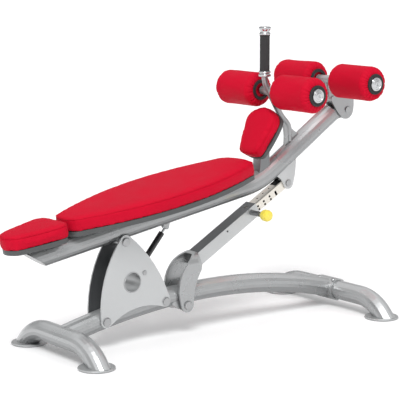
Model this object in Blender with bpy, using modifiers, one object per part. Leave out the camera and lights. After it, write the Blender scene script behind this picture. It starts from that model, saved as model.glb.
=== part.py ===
"""Adjustable abdominal crunch bench: arched base, tilting padded frame, telescopic angle adjuster.

Machine coordinates, in metres: x runs from the front (head end) cross tube towards the foot
rollers, y across the machine, z up from the floor. MACHINE_ORIGIN_X moves the middle of the
footprint to the world origin.
"""
import math

import bmesh
import bpy
from mathutils import Matrix, Vector

COLLECTION = "ab_crunch_machine"
CUTTERS = "cutters"

# --- Driving dimensions, metres and degrees -----------------------------------------------------
MACHINE_ORIGIN_X = 0.5747
GAP = 0.0003                  # clearance between touching pieces
FRAME_RADIUS = 0.0381         # 3 inch main tube

# Base: two arched cross tubes joined by an arched spine
BASE_LENGTH = 1.296           # front cross tube to rear cross tube
CROSS_AXIS_Z = 0.069
FRONT_STANCE = 0.220          # middle plane to foot plate centre
REAR_STANCE = 0.298
LEG_BEND_RADIUS = 0.172
LEG_BEND_ANGLE = 48.0
FOOT_PLATE_RADIUS = 0.0665
FOOT_PLATE_THICKNESS = 0.008
SPINE_CROWN_X = 0.670
SPINE_CROWN_Z = 0.1545
SADDLE_THICKNESS = 0.006
SADDLE_WIDTH = 0.104
SADDLE_BOLT_RADIUS = 0.0085

# Side plates that carry the bench pivot
PLATE_THICKNESS = 0.006
BENCH_PIVOT_X = 0.2518
BENCH_PIVOT_Z = 0.3886
FRONT_BOLT_X = 0.1653
REAR_BOLT_X = 0.4313
PLATE_BOLT_RADIUS = 0.008
PLATE_BOLT_HEAD_RADIUS = 0.0165
PLATE_BOLT_HEAD_HEIGHT = 0.006
PLATE_WINDOW_X = 0.2793
PLATE_WINDOW_Z = 0.2365
SPACER_RADIUS = 0.0385
SPACER_WALL = 0.0035

# Bench: one bent tube; s runs along its lower part from the pivot, t stands off it
BENCH_ANGLE = 9.73
UPPER_ANGLE = 33.0
BENCH_TUBE_OFFSET = 0.039     # pivot to tube axis
BEND_S = 0.6737               # pivot to the bend's corner
BEND_RADIUS = 0.33
TUBE_TAIL_S = -0.359          # where the tube's axis ends, at the head
TUBE_TAIL_MITRE = 47.8        # angle of the cut from square
UPPER_LENGTH = 0.445          # bend's corner to the foot end
PIVOT_HUB_RADIUS = 0.0215
PIVOT_PIN_RADIUS = 0.009
END_PLATE_THICKNESS = 0.003

# Pads and their boards, as heights over the tube axis
BOARD_BOTTOM = 0.0445
BOARD_THICKNESS = 0.0175
PAD_THICKNESS = 0.052
BOARD_INSET = 0.008
PAD_EDGE = 0.018
TORSO_START_S = -0.228
TORSO_END_S = 0.607
TORSO_HALF_WIDTH = 0.180
TORSO_HEAD_WIDTH = 0.075
TORSO_HIP_WIDTH = 0.108
HEAD_START_S = -0.464
HEAD_END_S = -0.2395
HEAD_TIP_WIDTH = 0.066
HEAD_NECK_WIDTH = 0.096
SEAT_X = 0.8975
SEAT_Z = 0.6315
SEAT_ANGLE = 63.0
SEAT_LENGTH = 0.186
SEAT_LOW_WIDTH = 0.060
SEAT_HIGH_WIDTH = 0.085
SEAT_THICKNESS = 0.042
SEAT_BOARD_THICKNESS = 0.015

# Handle
HANDLE_X = 0.9390
GRIP_BOTTOM_Z = 0.967
GRIP_TOP_Z = 1.105
GRIP_RADIUS = 0.0195
HANDLE_TOP_Z = 1.137
COLLAR_HEIGHT = 0.022
COLLAR_RADIUS = 0.0243
CAP_RADIUS = 0.0232
ARM_RADIUS = 0.0120
ARM_FOOT_S = 0.213            # along the upper tube from the bend's corner
ARM_GUSSET_HALF = 0.006

# Rollers and their axles
ROLLER_RADIUS = 0.0665
ROLLER_LENGTH = 0.212
ROLLER_SPACE = 0.113          # between the two rollers of an axle
ROLLER_END_RADIUS = 0.040
ROLLER_BORE = 0.0135
AXLE_RADIUS = 0.0127
AXLE_SLEEVE_RADIUS = 0.0175
AXLE_CAP_RADIUS = 0.026
AXLE_CAP_THICKNESS = 0.007
KNEE_AXLE_X = 0.9690
KNEE_AXLE_Z = 0.8896
FOOT_AXLE_X = 1.2685
FOOT_AXLE_Z = 0.9172
FOOT_PIVOT_X = 1.3557
FOOT_PIVOT_Z = 0.7950
FOOT_LUG_HALF = 0.015
FOOT_TAB_THICKNESS = 0.008
NECK_X = 1.2860
NECK_RADIUS = 0.0165

# Adjuster: yoke, outer tube, sliding channel; a runs up its axis from the tube's lower end
YOKE_PIVOT_X = 0.5280
YOKE_PIVOT_Z = 0.1165
YOKE_HUB_RADIUS = 0.020
YOKE_INNER_HALF = 0.0425
YOKE_STRAP = 0.008
YOKE_CROWN_TOP = 0.3135
YOKE_BACK_WALL = 0.012
TOP_PIVOT_X = 1.0393
TOP_PIVOT_Z = 0.5277
ADJUSTER_ANGLE = 29.5
ADJUSTER_REACH = 0.507        # tube's lower end to the top pivot
OUTER_LENGTH = 0.331
OUTER_WIDTH = 0.0572
OUTER_HEIGHT = 0.0508
OUTER_WALL = 0.003
WINDOW_RADIUS = 0.0085
CHANNEL_WIDTH = 0.0440
CHANNEL_HEIGHT = 0.0385
CHANNEL_WALL = 0.003
CHANNEL_START = 0.060
CHANNEL_OVERRUN = 0.019
CHANNEL_RISE = 0.002          # the channel's middle over the outer tube's
CHANNEL_MOUTH = 0.071         # length at the upper end where its top is cut away
HOLE_PITCH = 0.0335
HOLE_ROWS = 8
SQUARE_HOLE = 0.0085
HOLE_HEIGHTS = (-0.0092, 0.0046)
CHANNEL_EDGE = 0.0035
ROUND_HOLE_RADIUS = 0.0037
TOP_PIN_RADIUS = 0.0065
TOP_PIN_PLAY = 0.0055
GUSSET_THICKNESS = 0.006
GUSSET_INNER_HALF = 0.0226
PIN_A = 0.2965
PIN_B = 0.007
PIN_BARREL_RADIUS = 0.0105
PIN_BARREL_LENGTH = 0.050
PIN_NECK_LENGTH = 0.0185
PLUNGER_RADIUS = 0.0055
KNOB_RADIUS = 0.0225
KNOB_LENGTH = 0.038

# Gas spring
GAS_LOW_X = 0.3335
GAS_LOW_Z = 0.2650
GAS_TOP_X = 0.4620
GAS_TOP_Z = 0.4140
GAS_CYLINDER_RADIUS = 0.0110
GAS_CYLINDER_END = 0.170
GAS_ROD_RADIUS = 0.0045
GAS_EYE_RADIUS = 0.0080
GAS_EYE_HALF = 0.005
GAS_PIN_RADIUS = 0.004
GAS_TOP_PLAY = 0.0012

CIRCLE = 20                   # sides of a small turned piece
TUBE_SIDES = 8                # bevel resolution of a frame tube

# --- Derived frames ------------------------------------------------------------------------------
AXIS_Y = Vector((0.0, 1.0, 0.0))


def direction(angle):
    """Unit vector in the middle plane, rising by the angle towards the foot end."""
    return Vector((math.cos(math.radians(angle)), 0.0, math.sin(math.radians(angle))))


BENCH_DIR = direction(BENCH_ANGLE)
BENCH_UP = direction(BENCH_ANGLE + 90.0)
UPPER_DIR = direction(UPPER_ANGLE)
UPPER_UP = direction(UPPER_ANGLE + 90.0)
SEAT_DIR = direction(SEAT_ANGLE)
SEAT_OUT = direction(SEAT_ANGLE + 90.0)
ADJUSTER_DIR = direction(ADJUSTER_ANGLE)
ADJUSTER_UP = direction(ADJUSTER_ANGLE + 90.0)

BENCH_PIVOT = Vector((BENCH_PIVOT_X, 0.0, BENCH_PIVOT_Z))
YOKE_PIVOT = Vector((YOKE_PIVOT_X, 0.0, YOKE_PIVOT_Z))
TOP_PIVOT = Vector((TOP_PIVOT_X, 0.0, TOP_PIVOT_Z))
KNEE_AXLE = Vector((KNEE_AXLE_X, 0.0, KNEE_AXLE_Z))
FOOT_AXLE = Vector((FOOT_AXLE_X, 0.0, FOOT_AXLE_Z))
FOOT_PIVOT = Vector((FOOT_PIVOT_X, 0.0, FOOT_PIVOT_Z))
GAS_LOW = Vector((GAS_LOW_X, 0.0, GAS_LOW_Z))
GAS_TOP = Vector((GAS_TOP_X, 0.0, GAS_TOP_Z))
GAS_DIR = (GAS_TOP - GAS_LOW).normalized()


def across(point, y):
    """The point moved sideways to the given y."""
    return Vector((point.x, y, point.z))


def bench_point(s, t, y=0.0):
    """A point s along the bench from its pivot and t above the tube's axis."""
    return BENCH_PIVOT + BENCH_DIR * s + BENCH_UP * (BENCH_TUBE_OFFSET + t) + AXIS_Y * y


BEND_CORNER = bench_point(BEND_S, 0.0)


def upper_point(s, t, y=0.0):
    """A point s up the steep part of the bench tube and t above its axis."""
    return BEND_CORNER + UPPER_DIR * s + UPPER_UP * t + AXIS_Y * y


def adjuster_point(a, b, y=0.0):
    """A point a up the adjuster from its tube's lower end and b above its axis."""
    return TOP_PIVOT + ADJUSTER_DIR * (a - ADJUSTER_REACH) + ADJUSTER_UP * b + AXIS_Y * y


def spine_height(x):
    """Height of the spine's axis: two half parabolas that meet level at the crown."""
    run = SPINE_CROWN_X if x < SPINE_CROWN_X else BASE_LENGTH - SPINE_CROWN_X
    return SPINE_CROWN_Z - (SPINE_CROWN_Z - CROSS_AXIS_Z) * ((x - SPINE_CROWN_X) / run) ** 2


# --- Building tools ------------------------------------------------------------------------------
def fresh_scene():
    for item in list(bpy.data.objects):
        bpy.data.objects.remove(item, do_unlink=True)
    for name in (COLLECTION, CUTTERS):
        collection = bpy.data.collections.new(name)
        bpy.context.scene.collection.children.link(collection)


def make_material(name, colour, metallic, roughness):
    material = bpy.data.materials.new(name)
    material.use_nodes = True
    shader = material.node_tree.nodes["Principled BSDF"]
    shader.inputs["Base Color"].default_value = (*colour, 1.0)
    shader.inputs["Metallic"].default_value = metallic
    shader.inputs["Roughness"].default_value = roughness
    material.diffuse_color = (*colour, 1.0)
    return material


def make_palette():
    return {
        "frame": make_material("silver_powder_coat", (0.62, 0.64, 0.64), 0.55, 0.38),
        "chrome": make_material("polished_steel", (0.85, 0.86, 0.87), 1.0, 0.12),
        "stainless": make_material("brushed_stainless", (0.70, 0.68, 0.64), 1.0, 0.35),
        "board": make_material("black_board", (0.05, 0.055, 0.06), 0.0, 0.55),
        "vinyl": make_material("red_vinyl", (0.60, 0.01, 0.035), 0.0, 0.42),
        "rubber": make_material("black_rubber", (0.02, 0.02, 0.02), 0.0, 0.70),
        "yellow": make_material("yellow_plastic", (0.90, 0.75, 0.10), 0.0, 0.35),
    }


def make_pivot(name, point, parent=None):
    """An empty on a joint's axis; pieces parented to it keep their machine coordinates."""
    empty = bpy.data.objects.new(name, None)
    bpy.data.collections[COLLECTION].objects.link(empty)
    empty.empty_display_size = 0.05
    empty.location = point
    if parent:
        attach(empty, parent)
    return empty


def attach(item, parent):
    """Parents an item; only the root empty shifts what hangs on it."""
    item.parent = parent
    if parent.parent:
        item.matrix_parent_inverse = Matrix.Translation(-parent.location)


def add_object(name, mesh, material, parent, cutter=False):
    item = bpy.data.objects.new(name, mesh)
    bpy.data.collections[CUTTERS if cutter else COLLECTION].objects.link(item)
    if cutter:
        item.hide_render = True
        item.display_type = "WIRE"
    else:
        mesh.materials.clear()
        mesh.materials.append(material)
    attach(item, parent)
    return item


class Workshop:
    """Makes pieces for one moving body: its parent empty and the shared palette."""

    def __init__(self, parent, palette):
        self.parent = parent
        self.palette = palette

    def finish(self, name, mesh, material, cutter):
        smooth(mesh)
        return add_object(name, mesh, self.palette.get(material), self.parent, cutter)

    def cylinder(self, name, start, end, radius, material=None, sides=CIRCLE, cutter=False):
        """A round bar between two points."""
        axis = end - start
        work = bmesh.new()
        bmesh.ops.create_cone(work, cap_ends=True, segments=sides, radius1=radius,
                              radius2=radius, depth=axis.length)
        mesh = bpy.data.meshes.new(name)
        work.to_mesh(mesh)
        work.free()
        item = self.finish(name, mesh, material, cutter)
        item.location = (start + end) / 2
        item.rotation_euler = axis.to_track_quat("Z", "Y").to_euler()
        return item

    def box(self, name, centre, size, angle=0.0, material=None, cutter=False, bevel=0.0):
        """A block whose x axis rises by the angle in the middle plane."""
        work = bmesh.new()
        bmesh.ops.create_cube(work, size=1.0)
        bmesh.ops.scale(work, vec=size, verts=work.verts)
        mesh = bpy.data.meshes.new(name)
        work.to_mesh(mesh)
        work.free()
        item = self.finish(name, mesh, material, cutter)
        item.location = centre
        item.rotation_euler = (0.0, -math.radians(angle), 0.0)
        if bevel:
            round_edges(item, bevel)
        return item

    def tube(self, name, points, radius, material=None, cutter=False, resolution=TUBE_SIDES):
        """A solid bar bent along a path."""
        curve = bpy.data.curves.new(name, "CURVE")
        curve.dimensions = "3D"
        curve.bevel_depth = radius
        curve.bevel_resolution = resolution
        curve.use_fill_caps = True
        spline = curve.splines.new("POLY")
        spline.points.add(len(points) - 1)
        for place, point in zip(spline.points, points):
            place.co = (*point, 1.0)
        return self.finish(name, mesh_from_curve(name, curve), material, cutter)

    def plate(self, name, outline, y_low, y_high, material=None, cutter=False):
        """A flat plate: an outline of (x, z) points, extruded across the machine."""
        curve = flat_curve(name, outline, (y_high - y_low) / 2)
        mesh = mesh_from_curve(name, curve)
        mesh.transform(Matrix.Rotation(math.radians(90.0), 4, "X"))
        item = self.finish(name, mesh, material, cutter)
        item.location = (0.0, (y_low + y_high) / 2, 0.0)
        return item

    def slab(self, name, outline, origin, angle, thickness, material=None, cutter=False):
        """A board on a slope: an outline of (along, across) points standing on its plane."""
        curve = flat_curve(name, outline, thickness / 2)
        mesh = mesh_from_curve(name, curve)
        item = self.finish(name, mesh, material, cutter)
        item.rotation_euler = (0.0, -math.radians(angle), 0.0)
        item.location = origin + direction(angle + 90.0) * (thickness / 2)
        return item

    def arch(self, name, half, spring_z, x_low, x_high, steps=20):
        """A cutter with upright sides and a half-round top, running along the machine."""
        outline = [(-half, 0.0), (half, 0.0)]
        along_arc(outline, (0.0, spring_z), half, 0.0, 180.0, lambda y, z: (y, z), steps)
        mesh = mesh_from_curve(name, flat_curve(name, outline, (x_high - x_low) / 2))
        mesh.transform(Matrix.Rotation(math.radians(120.0), 4, Vector((1.0, 1.0, 1.0))))
        item = self.finish(name, mesh, None, True)
        item.location = ((x_low + x_high) / 2, 0.0, 0.0)
        return item

    def turned(self, name, profile, origin, material, turn=0.0, sides=CIRCLE):
        """A turned ring: its closed (radius, height) profile runs down the outside; turn tips it."""
        mesh = bpy.data.meshes.new(name)
        work = bmesh.new()
        verts = [work.verts.new((radius, 0.0, height)) for radius, height in profile]
        for first, second in zip(verts, verts[1:] + verts[:1]):
            work.edges.new((first, second))
        work.to_mesh(mesh)
        work.free()
        item = add_object(name, mesh, self.palette[material], self.parent)
        screw = item.modifiers.new("turn", "SCREW")
        screw.steps = sides
        screw.render_steps = sides
        screw.use_merge_vertices = True
        screw.merge_threshold = 0.00005
        item.location = origin
        item.rotation_euler = (math.radians(turn), 0.0, 0.0)
        return item


def smooth(mesh):
    mesh.shade_smooth()
    mesh.set_sharp_from_angle(angle=math.radians(40.0))


def round_edges(item, width, segments=2):
    bevel = item.modifiers.new("round_edges", "BEVEL")
    bevel.width = width
    bevel.segments = segments
    bevel.limit_method = "ANGLE"
    bevel.angle_limit = math.radians(50.0)


def flat_curve(name, outline, half_thickness):
    curve = bpy.data.curves.new(name, "CURVE")
    curve.dimensions = "2D"
    curve.fill_mode = "BOTH"
    curve.extrude = half_thickness
    spline = curve.splines.new("POLY")
    spline.points.add(len(outline) - 1)
    for place, (x, y) in zip(spline.points, outline):
        place.co = (x, y, 0.0, 1.0)
    spline.use_cyclic_u = True
    return curve


def mesh_from_curve(name, curve):
    """The curve's solid as a welded mesh."""
    holder = bpy.data.objects.new(name + "_path", curve)
    bpy.context.scene.collection.objects.link(holder)
    evaluated = holder.evaluated_get(bpy.context.evaluated_depsgraph_get())
    mesh = bpy.data.meshes.new_from_object(evaluated)
    bpy.data.objects.remove(holder, do_unlink=True)
    work = bmesh.new()
    work.from_mesh(mesh)
    bmesh.ops.remove_doubles(work, verts=work.verts, dist=0.00002)
    bmesh.ops.recalc_face_normals(work, faces=work.faces)
    work.to_mesh(mesh)
    work.free()
    return mesh


def combine(item, tool, operation="DIFFERENCE"):
    """Cut, join or trim a piece with a tool that stays in the cutters' collection."""
    boolean = item.modifiers.new(tool.name, "BOOLEAN")
    boolean.operation = operation
    boolean.object = tool
    boolean.solver = "EXACT"
    return item


def curved_outline(bosses, bulges, boss_steps=8, side_steps=8):
    """Outline round (x, z, radius) bosses, counterclockwise; each side bows out by its bulge."""
    sides = []
    for number, bulge in enumerate(bulges):
        x0, z0, r0 = bosses[number]
        x1, z1, r1 = bosses[(number + 1) % len(bosses)]
        length = math.hypot(x1 - x0, z1 - z0)
        normal = math.atan2(x0 - x1, z1 - z0) + math.asin((r0 - r1) / length)
        lean = 2 * math.atan(2 * bulge / length)
        sides.append((normal, lean, bulge))
    points = []
    for number, (normal, lean, bulge) in enumerate(sides):
        last_normal, last_lean, _ = sides[number - 1]
        x0, z0, r0 = bosses[number]
        x1, z1, r1 = bosses[(number + 1) % len(bosses)]
        begin = last_normal + last_lean
        end = normal - lean
        while end < begin:
            end += math.tau
        while end > begin + math.tau:
            end -= math.tau
        for step in range(boss_steps + 1):
            angle = begin + (end - begin) * step / boss_steps
            points.append((x0 + r0 * math.cos(angle), z0 + r0 * math.sin(angle)))
        stop = normal + lean
        start_point = Vector(points[-1])
        stop_point = Vector((x1 + r1 * math.cos(stop), z1 + r1 * math.sin(stop)))
        chord = stop_point - start_point
        outward = Vector((chord.y, -chord.x)).normalized()
        bow = math.copysign(chord.length / 2 * math.tan(abs(lean) / 2), bulge)
        steps = side_steps if abs(bulge) > GAP else 1
        for step in range(1, steps):
            part = step / steps
            points.append(start_point + chord * part + outward * bow * 4 * part * (1 - part))
    return [tuple(point) for point in points]


def along_arc(points, centre, radius, first, last, place, steps=8):
    """Adds points on an arc; angles in degrees, place(u, v) turns its plane into space."""
    for step in range(steps + 1):
        angle = math.radians(first + (last - first) * step / steps)
        points.append(place(centre[0] + radius * math.cos(angle),
                            centre[1] + radius * math.sin(angle)))


def pad_shape(start, end, start_width, end_width, corners, side_bulge, end_bulges, inset=0.0):
    """Outline of a pad in its own plane: (along, across), symmetric about the middle."""
    first, last = corners[0] - inset, corners[1] - inset
    bosses = [(start + corners[0], -start_width + corners[0], first),
              (end - corners[1], -end_width + corners[1], last),
              (end - corners[1], end_width - corners[1], last),
              (start + corners[0], start_width - corners[0], first)]
    return curved_outline(bosses, [side_bulge, end_bulges[1], side_bulge, end_bulges[0]], 5, 10)


# --- Base ----------------------------------------------------------------------------------------
PLATE_INNER = FRAME_RADIUS + GAP
PLATE_OUTER = PLATE_INNER + PLATE_THICKNESS
FRONT_BOLT = Vector((FRONT_BOLT_X, 0.0, spine_height(FRONT_BOLT_X)))
REAR_BOLT = Vector((REAR_BOLT_X, 0.0, spine_height(REAR_BOLT_X)))


def cross_path(x, stance):
    """Half of a cross tube's axis mirrored: level in the middle, then bent down to its feet."""
    reach = LEG_BEND_RADIUS * math.sin(math.radians(LEG_BEND_ANGLE))
    start = stance - reach + 0.008
    half = [Vector((x, 0.0, CROSS_AXIS_Z))]
    along_arc(half, (start, CROSS_AXIS_Z - LEG_BEND_RADIUS), LEG_BEND_RADIUS, 90.0,
              90.0 - LEG_BEND_ANGLE, lambda y, z: Vector((x, y, z)))
    tip = half[-1]
    fall = math.radians(LEG_BEND_ANGLE)
    half.append(tip + Vector((0.0, math.cos(fall), -math.sin(fall))) * FRAME_RADIUS)
    return [Vector((p.x, -p.y, p.z)) for p in reversed(half[1:])] + half


def make_cross_tube(shop, name, x, stance):
    tube = shop.tube(name, cross_path(x, stance), FRAME_RADIUS, "frame")
    depth = 0.2
    top = FOOT_PLATE_THICKNESS + GAP
    floor_box = shop.box(name + "_floor_cut", Vector((x, 0.0, top - depth / 2)),
                         (depth, 3.0 * stance, depth), cutter=True)
    return combine(tube, floor_box)


def make_foot_plates(shop):
    for end, x, stance in (("front", 0.0, FRONT_STANCE), ("rear", BASE_LENGTH, REAR_STANCE)):
        for side, sign in (("near", -1.0), ("far", 1.0)):
            centre = Vector((x, sign * stance, 0.0))
            plate = shop.cylinder(f"foot_plate_{end}_{side}", centre,
                                  centre + Vector((0.0, 0.0, FOOT_PLATE_THICKNESS)),
                                  FOOT_PLATE_RADIUS, "frame", sides=32)
            round_edges(plate, 0.002, 1)


def spine_path(steps=18, inset=0.005):
    """Axis of the spine, from just behind one cross tube's axis to just short of the other's."""
    run = BASE_LENGTH - 2 * inset
    xs = [inset + run * step / steps for step in range(steps + 1)]
    return [Vector((x, 0.0, spine_height(x))) for x in xs]


def make_spine(shop):
    spine = shop.tube("base_spine", spine_path(), FRAME_RADIUS, "frame")
    front = shop.cylinder("spine_front_cope", Vector((0.0, -0.08, CROSS_AXIS_Z)),
                          Vector((0.0, 0.08, CROSS_AXIS_Z)), FRAME_RADIUS + GAP, sides=40,
                          cutter=True)
    rear_radius = FRAME_RADIUS + 2 * GAP + SADDLE_THICKNESS
    rear = shop.cylinder("spine_rear_cope", Vector((BASE_LENGTH, -0.08, CROSS_AXIS_Z)),
                         Vector((BASE_LENGTH, 0.08, CROSS_AXIS_Z)), rear_radius, sides=40,
                         cutter=True)
    hub = shop.cylinder("spine_hub_notch", across(YOKE_PIVOT, -0.06), across(YOKE_PIVOT, 0.06),
                        YOKE_HUB_RADIUS + GAP, cutter=True)
    for tool in (front, rear, hub):
        combine(spine, tool)
    for bolt, label in ((FRONT_BOLT, "front"), (REAR_BOLT, "rear")):
        bore = shop.cylinder(f"spine_bore_{label}", across(bolt, -0.06), across(bolt, 0.06),
                             PLATE_BOLT_RADIUS + GAP, cutter=True)
        combine(spine, bore)


def make_saddle(shop):
    """The bolted half sleeve that joins the spine to the rear cross tube."""
    centre = Vector((BASE_LENGTH, 0.0, CROSS_AXIS_Z))
    half = SADDLE_WIDTH / 2
    outer = FRAME_RADIUS + GAP + SADDLE_THICKNESS
    saddle = shop.cylinder("rear_saddle", across(centre, -half), across(centre, half), outer,
                           "frame", sides=40)
    inner = shop.cylinder("saddle_bore", across(centre, -0.1), across(centre, 0.1),
                          FRAME_RADIUS + GAP, sides=40, cutter=True)
    open_side = shop.box("saddle_open_side", centre + Vector((0.115, 0.0, -0.02)),
                         (0.2, 0.3, 0.3), angle=-20.0, cutter=True)
    combine(combine(saddle, inner), open_side)
    up = direction(118.0)
    seat = centre + up * (outer - 0.003)
    for label, y in (("near", -SADDLE_WIDTH / 2 + 0.012), ("far", SADDLE_WIDTH / 2 - 0.012)):
        bolt = shop.cylinder(f"saddle_bolt_{label}", across(seat, y) + up * 0.0033,
                             across(seat, y) + up * 0.0105, SADDLE_BOLT_RADIUS, "chrome", 16)
        round_edges(bolt, 0.002, 1)
        flat = shop.cylinder(f"saddle_flat_{label}", across(seat, y) + up * 0.003,
                             across(seat, y) + up * 0.02, SADDLE_BOLT_RADIUS + 0.001,
                             sides=16, cutter=True)
        combine(saddle, flat)


def side_plate_outline():
    bosses = [(FRONT_BOLT.x, FRONT_BOLT.z, 0.0235), (REAR_BOLT.x, REAR_BOLT.z, 0.0200),
              (BENCH_PIVOT.x, BENCH_PIVOT.z, 0.0255)]
    return curved_outline(bosses, [-0.036, 0.022, 0.027], 6, 8)


def make_side_plates(shop):
    window = Vector((PLATE_WINDOW_X, 0.0, PLATE_WINDOW_Z))
    holes = [("window", window, SPACER_RADIUS + GAP), ("front", FRONT_BOLT, PLATE_BOLT_RADIUS + GAP),
             ("rear", REAR_BOLT, PLATE_BOLT_RADIUS + GAP),
             ("pivot", BENCH_PIVOT, PIVOT_PIN_RADIUS + GAP), ("gas", GAS_LOW, GAS_PIN_RADIUS + GAP)]
    tools = [shop.cylinder(f"side_plate_{label}_hole", across(point, -0.1), across(point, 0.1),
                           radius, sides=40 if label == "window" else CIRCLE, cutter=True)
             for label, point, radius in holes]
    for side, low, high in (("near", -PLATE_OUTER, -PLATE_INNER), ("far", PLATE_INNER, PLATE_OUTER)):
        plate = shop.plate(f"side_plate_{side}", side_plate_outline(), low, high, "frame")
        for tool in tools:
            combine(plate, tool)
    half = PLATE_OUTER + 0.001
    profile = [(SPACER_RADIUS, half), (SPACER_RADIUS, -half),
               (SPACER_RADIUS - SPACER_WALL, -half), (SPACER_RADIUS - SPACER_WALL, half)]
    shop.turned("plate_spacer_tube", profile, window, "frame", turn=90.0, sides=40)


def make_through_bolt(shop, name, point, radius, half_grip, head_radius, head_height,
                      material="chrome"):
    """A bolt across the machine with a domed head at each end."""
    bolt = shop.cylinder(name, across(point, -half_grip - head_height / 2),
                         across(point, half_grip + head_height / 2), radius, material, sides=16)
    for label, sign in (("near", -1.0), ("far", 1.0)):
        head = shop.cylinder(f"{name}_{label}_head", across(point, sign * (half_grip + GAP)),
                             across(point, sign * (half_grip + head_height)), head_radius,
                             sides=16, cutter=True)
        round_edges(head, head_height * 0.55, 2)
        combine(bolt, head, "UNION")
    return bolt


def make_yoke_hub(shop):
    """The hub under the spine that carries the yoke's pin, with a web that runs forward."""
    half = YOKE_INNER_HALF - 2 * GAP
    hub = shop.cylinder("yoke_pivot_hub", across(YOKE_PIVOT, -half), across(YOKE_PIVOT, half),
                        YOKE_HUB_RADIUS, "frame")
    toe = YOKE_PIVOT + Vector((-0.056, 0.0, 0.010))
    root = YOKE_PIVOT + Vector((0.012, 0.0, 0.030))
    bosses = [(YOKE_PIVOT.x, YOKE_PIVOT.z, YOKE_HUB_RADIUS + 0.004), (root.x, root.z, 0.006),
              (toe.x, toe.z, 0.006)]
    web_half = half - 0.006
    web = shop.plate("yoke_hub_web", curved_outline(bosses, [0.0, 0.0, 0.0], 6, 1), -web_half,
                     web_half, cutter=True)
    clear = shop.tube("yoke_hub_cope", spine_path(), FRAME_RADIUS + GAP, cutter=True)
    bore = shop.cylinder("yoke_hub_bore", across(YOKE_PIVOT, -0.1), across(YOKE_PIVOT, 0.1),
                         PLATE_BOLT_RADIUS + GAP, cutter=True)
    combine(combine(hub, combine(web, clear), "UNION"), bore)


def make_base(shop):
    make_cross_tube(shop, "front_cross_tube", 0.0, FRONT_STANCE)
    make_cross_tube(shop, "rear_cross_tube", BASE_LENGTH, REAR_STANCE)
    make_foot_plates(shop)
    make_spine(shop)
    make_saddle(shop)
    make_side_plates(shop)
    make_yoke_hub(shop)
    heads = (PLATE_BOLT_HEAD_RADIUS, PLATE_BOLT_HEAD_HEIGHT)
    make_through_bolt(shop, "plate_bolt_front", FRONT_BOLT, PLATE_BOLT_RADIUS, PLATE_OUTER, *heads)
    make_through_bolt(shop, "plate_bolt_rear", REAR_BOLT, PLATE_BOLT_RADIUS, PLATE_OUTER, *heads)
    make_through_bolt(shop, "bench_pivot_pin", BENCH_PIVOT, PIVOT_PIN_RADIUS, PLATE_OUTER, *heads)
    make_through_bolt(shop, "yoke_pivot_pin", YOKE_PIVOT, PLATE_BOLT_RADIUS,
                      YOKE_INNER_HALF + YOKE_STRAP, *heads)
    make_through_bolt(shop, "gas_lower_pin", GAS_LOW, GAS_PIN_RADIUS, PLATE_OUTER, 0.009, 0.004)


# --- Bench ---------------------------------------------------------------------------------------
def bench_path():
    """Axis of the bent bench tube, with a straight run past the mitred tail."""
    tangent = BEND_RADIUS * math.tan(math.radians(UPPER_ANGLE - BENCH_ANGLE) / 2)
    points = [bench_point(TUBE_TAIL_S - 0.06, 0.0)]
    centre = bench_point(BEND_S - tangent, BEND_RADIUS)
    along_arc(points, (centre.x, centre.z), BEND_RADIUS, BENCH_ANGLE - 90.0, UPPER_ANGLE - 90.0,
              lambda x, z: Vector((x, 0.0, z)), steps=10)
    points.append(upper_point(UPPER_LENGTH, 0.0))
    return points


def tail_cut_box(shop, name, near, far, cutter=True):
    """A block across the tube's mitred tail, between two distances along the cut's normal."""
    angle = BENCH_ANGLE + 180.0 + TUBE_TAIL_MITRE
    centre = bench_point(TUBE_TAIL_S, 0.0) + direction(angle) * (near + far) / 2
    return shop.box(name, centre, (far - near, 0.3, 0.4), angle=angle, cutter=cutter)


def make_bench_tube(shop):
    tube = shop.tube("bench_tube", bench_path(), FRAME_RADIUS, "frame")
    combine(tube, tail_cut_box(shop, "tail_cut", 0.0, 0.2))
    hub = shop.cylinder("bench_hub_notch", across(BENCH_PIVOT, -0.06), across(BENCH_PIVOT, 0.06),
                        PIVOT_HUB_RADIUS + GAP, cutter=True)
    combine(tube, hub)
    plate = shop.tube("bench_end_plate", [bench_point(TUBE_TAIL_S - 0.12, 0.0),
                                          bench_point(TUBE_TAIL_S + 0.10, 0.0)],
                      FRAME_RADIUS, "frame")
    slice_box = tail_cut_box(shop, "end_plate_slice", GAP, GAP + END_PLATE_THICKNESS)
    combine(plate, slice_box, "INTERSECT")


def make_pivot_hub(shop):
    half = PLATE_INNER - GAP
    hub = shop.cylinder("pivot_hub", across(BENCH_PIVOT, -half), across(BENCH_PIVOT, half),
                        PIVOT_HUB_RADIUS, "frame")
    bore = shop.cylinder("pivot_hub_bore", across(BENCH_PIVOT, -0.1), across(BENCH_PIVOT, 0.1),
                         PIVOT_PIN_RADIUS + GAP, cutter=True)
    combine(hub, bore)


def make_gussets(shop):
    tube = shop.tube("gusset_cope", bench_path(), FRAME_RADIUS + GAP, cutter=True)
    bore = shop.cylinder("gusset_bore", across(TOP_PIVOT, -0.1), across(TOP_PIVOT, 0.1),
                         TOP_PIN_RADIUS + GAP, cutter=True)
    toe = bench_point(BEND_S + 0.045, 0.020)
    heel = upper_point(0.190, -0.006)
    bosses = [(TOP_PIVOT.x + 0.002, TOP_PIVOT.z - 0.001, 0.0235), (heel.x, heel.z, 0.006),
              (toe.x, toe.z, 0.004)]
    outline = curved_outline(bosses, [0.006, 0.0, -0.016], 8, 8)
    outer = GUSSET_INNER_HALF + GUSSET_THICKNESS
    for side, low, high in (("near", -outer, -GUSSET_INNER_HALF), ("far", GUSSET_INNER_HALF, outer)):
        gusset = shop.plate(f"gusset_{side}", outline, low, high, "frame")
        combine(combine(gusset, tube), bore)
    make_through_bolt(shop, "gusset_pin", TOP_PIVOT, TOP_PIN_RADIUS, outer, 0.0135, 0.005)
    return tube


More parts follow.
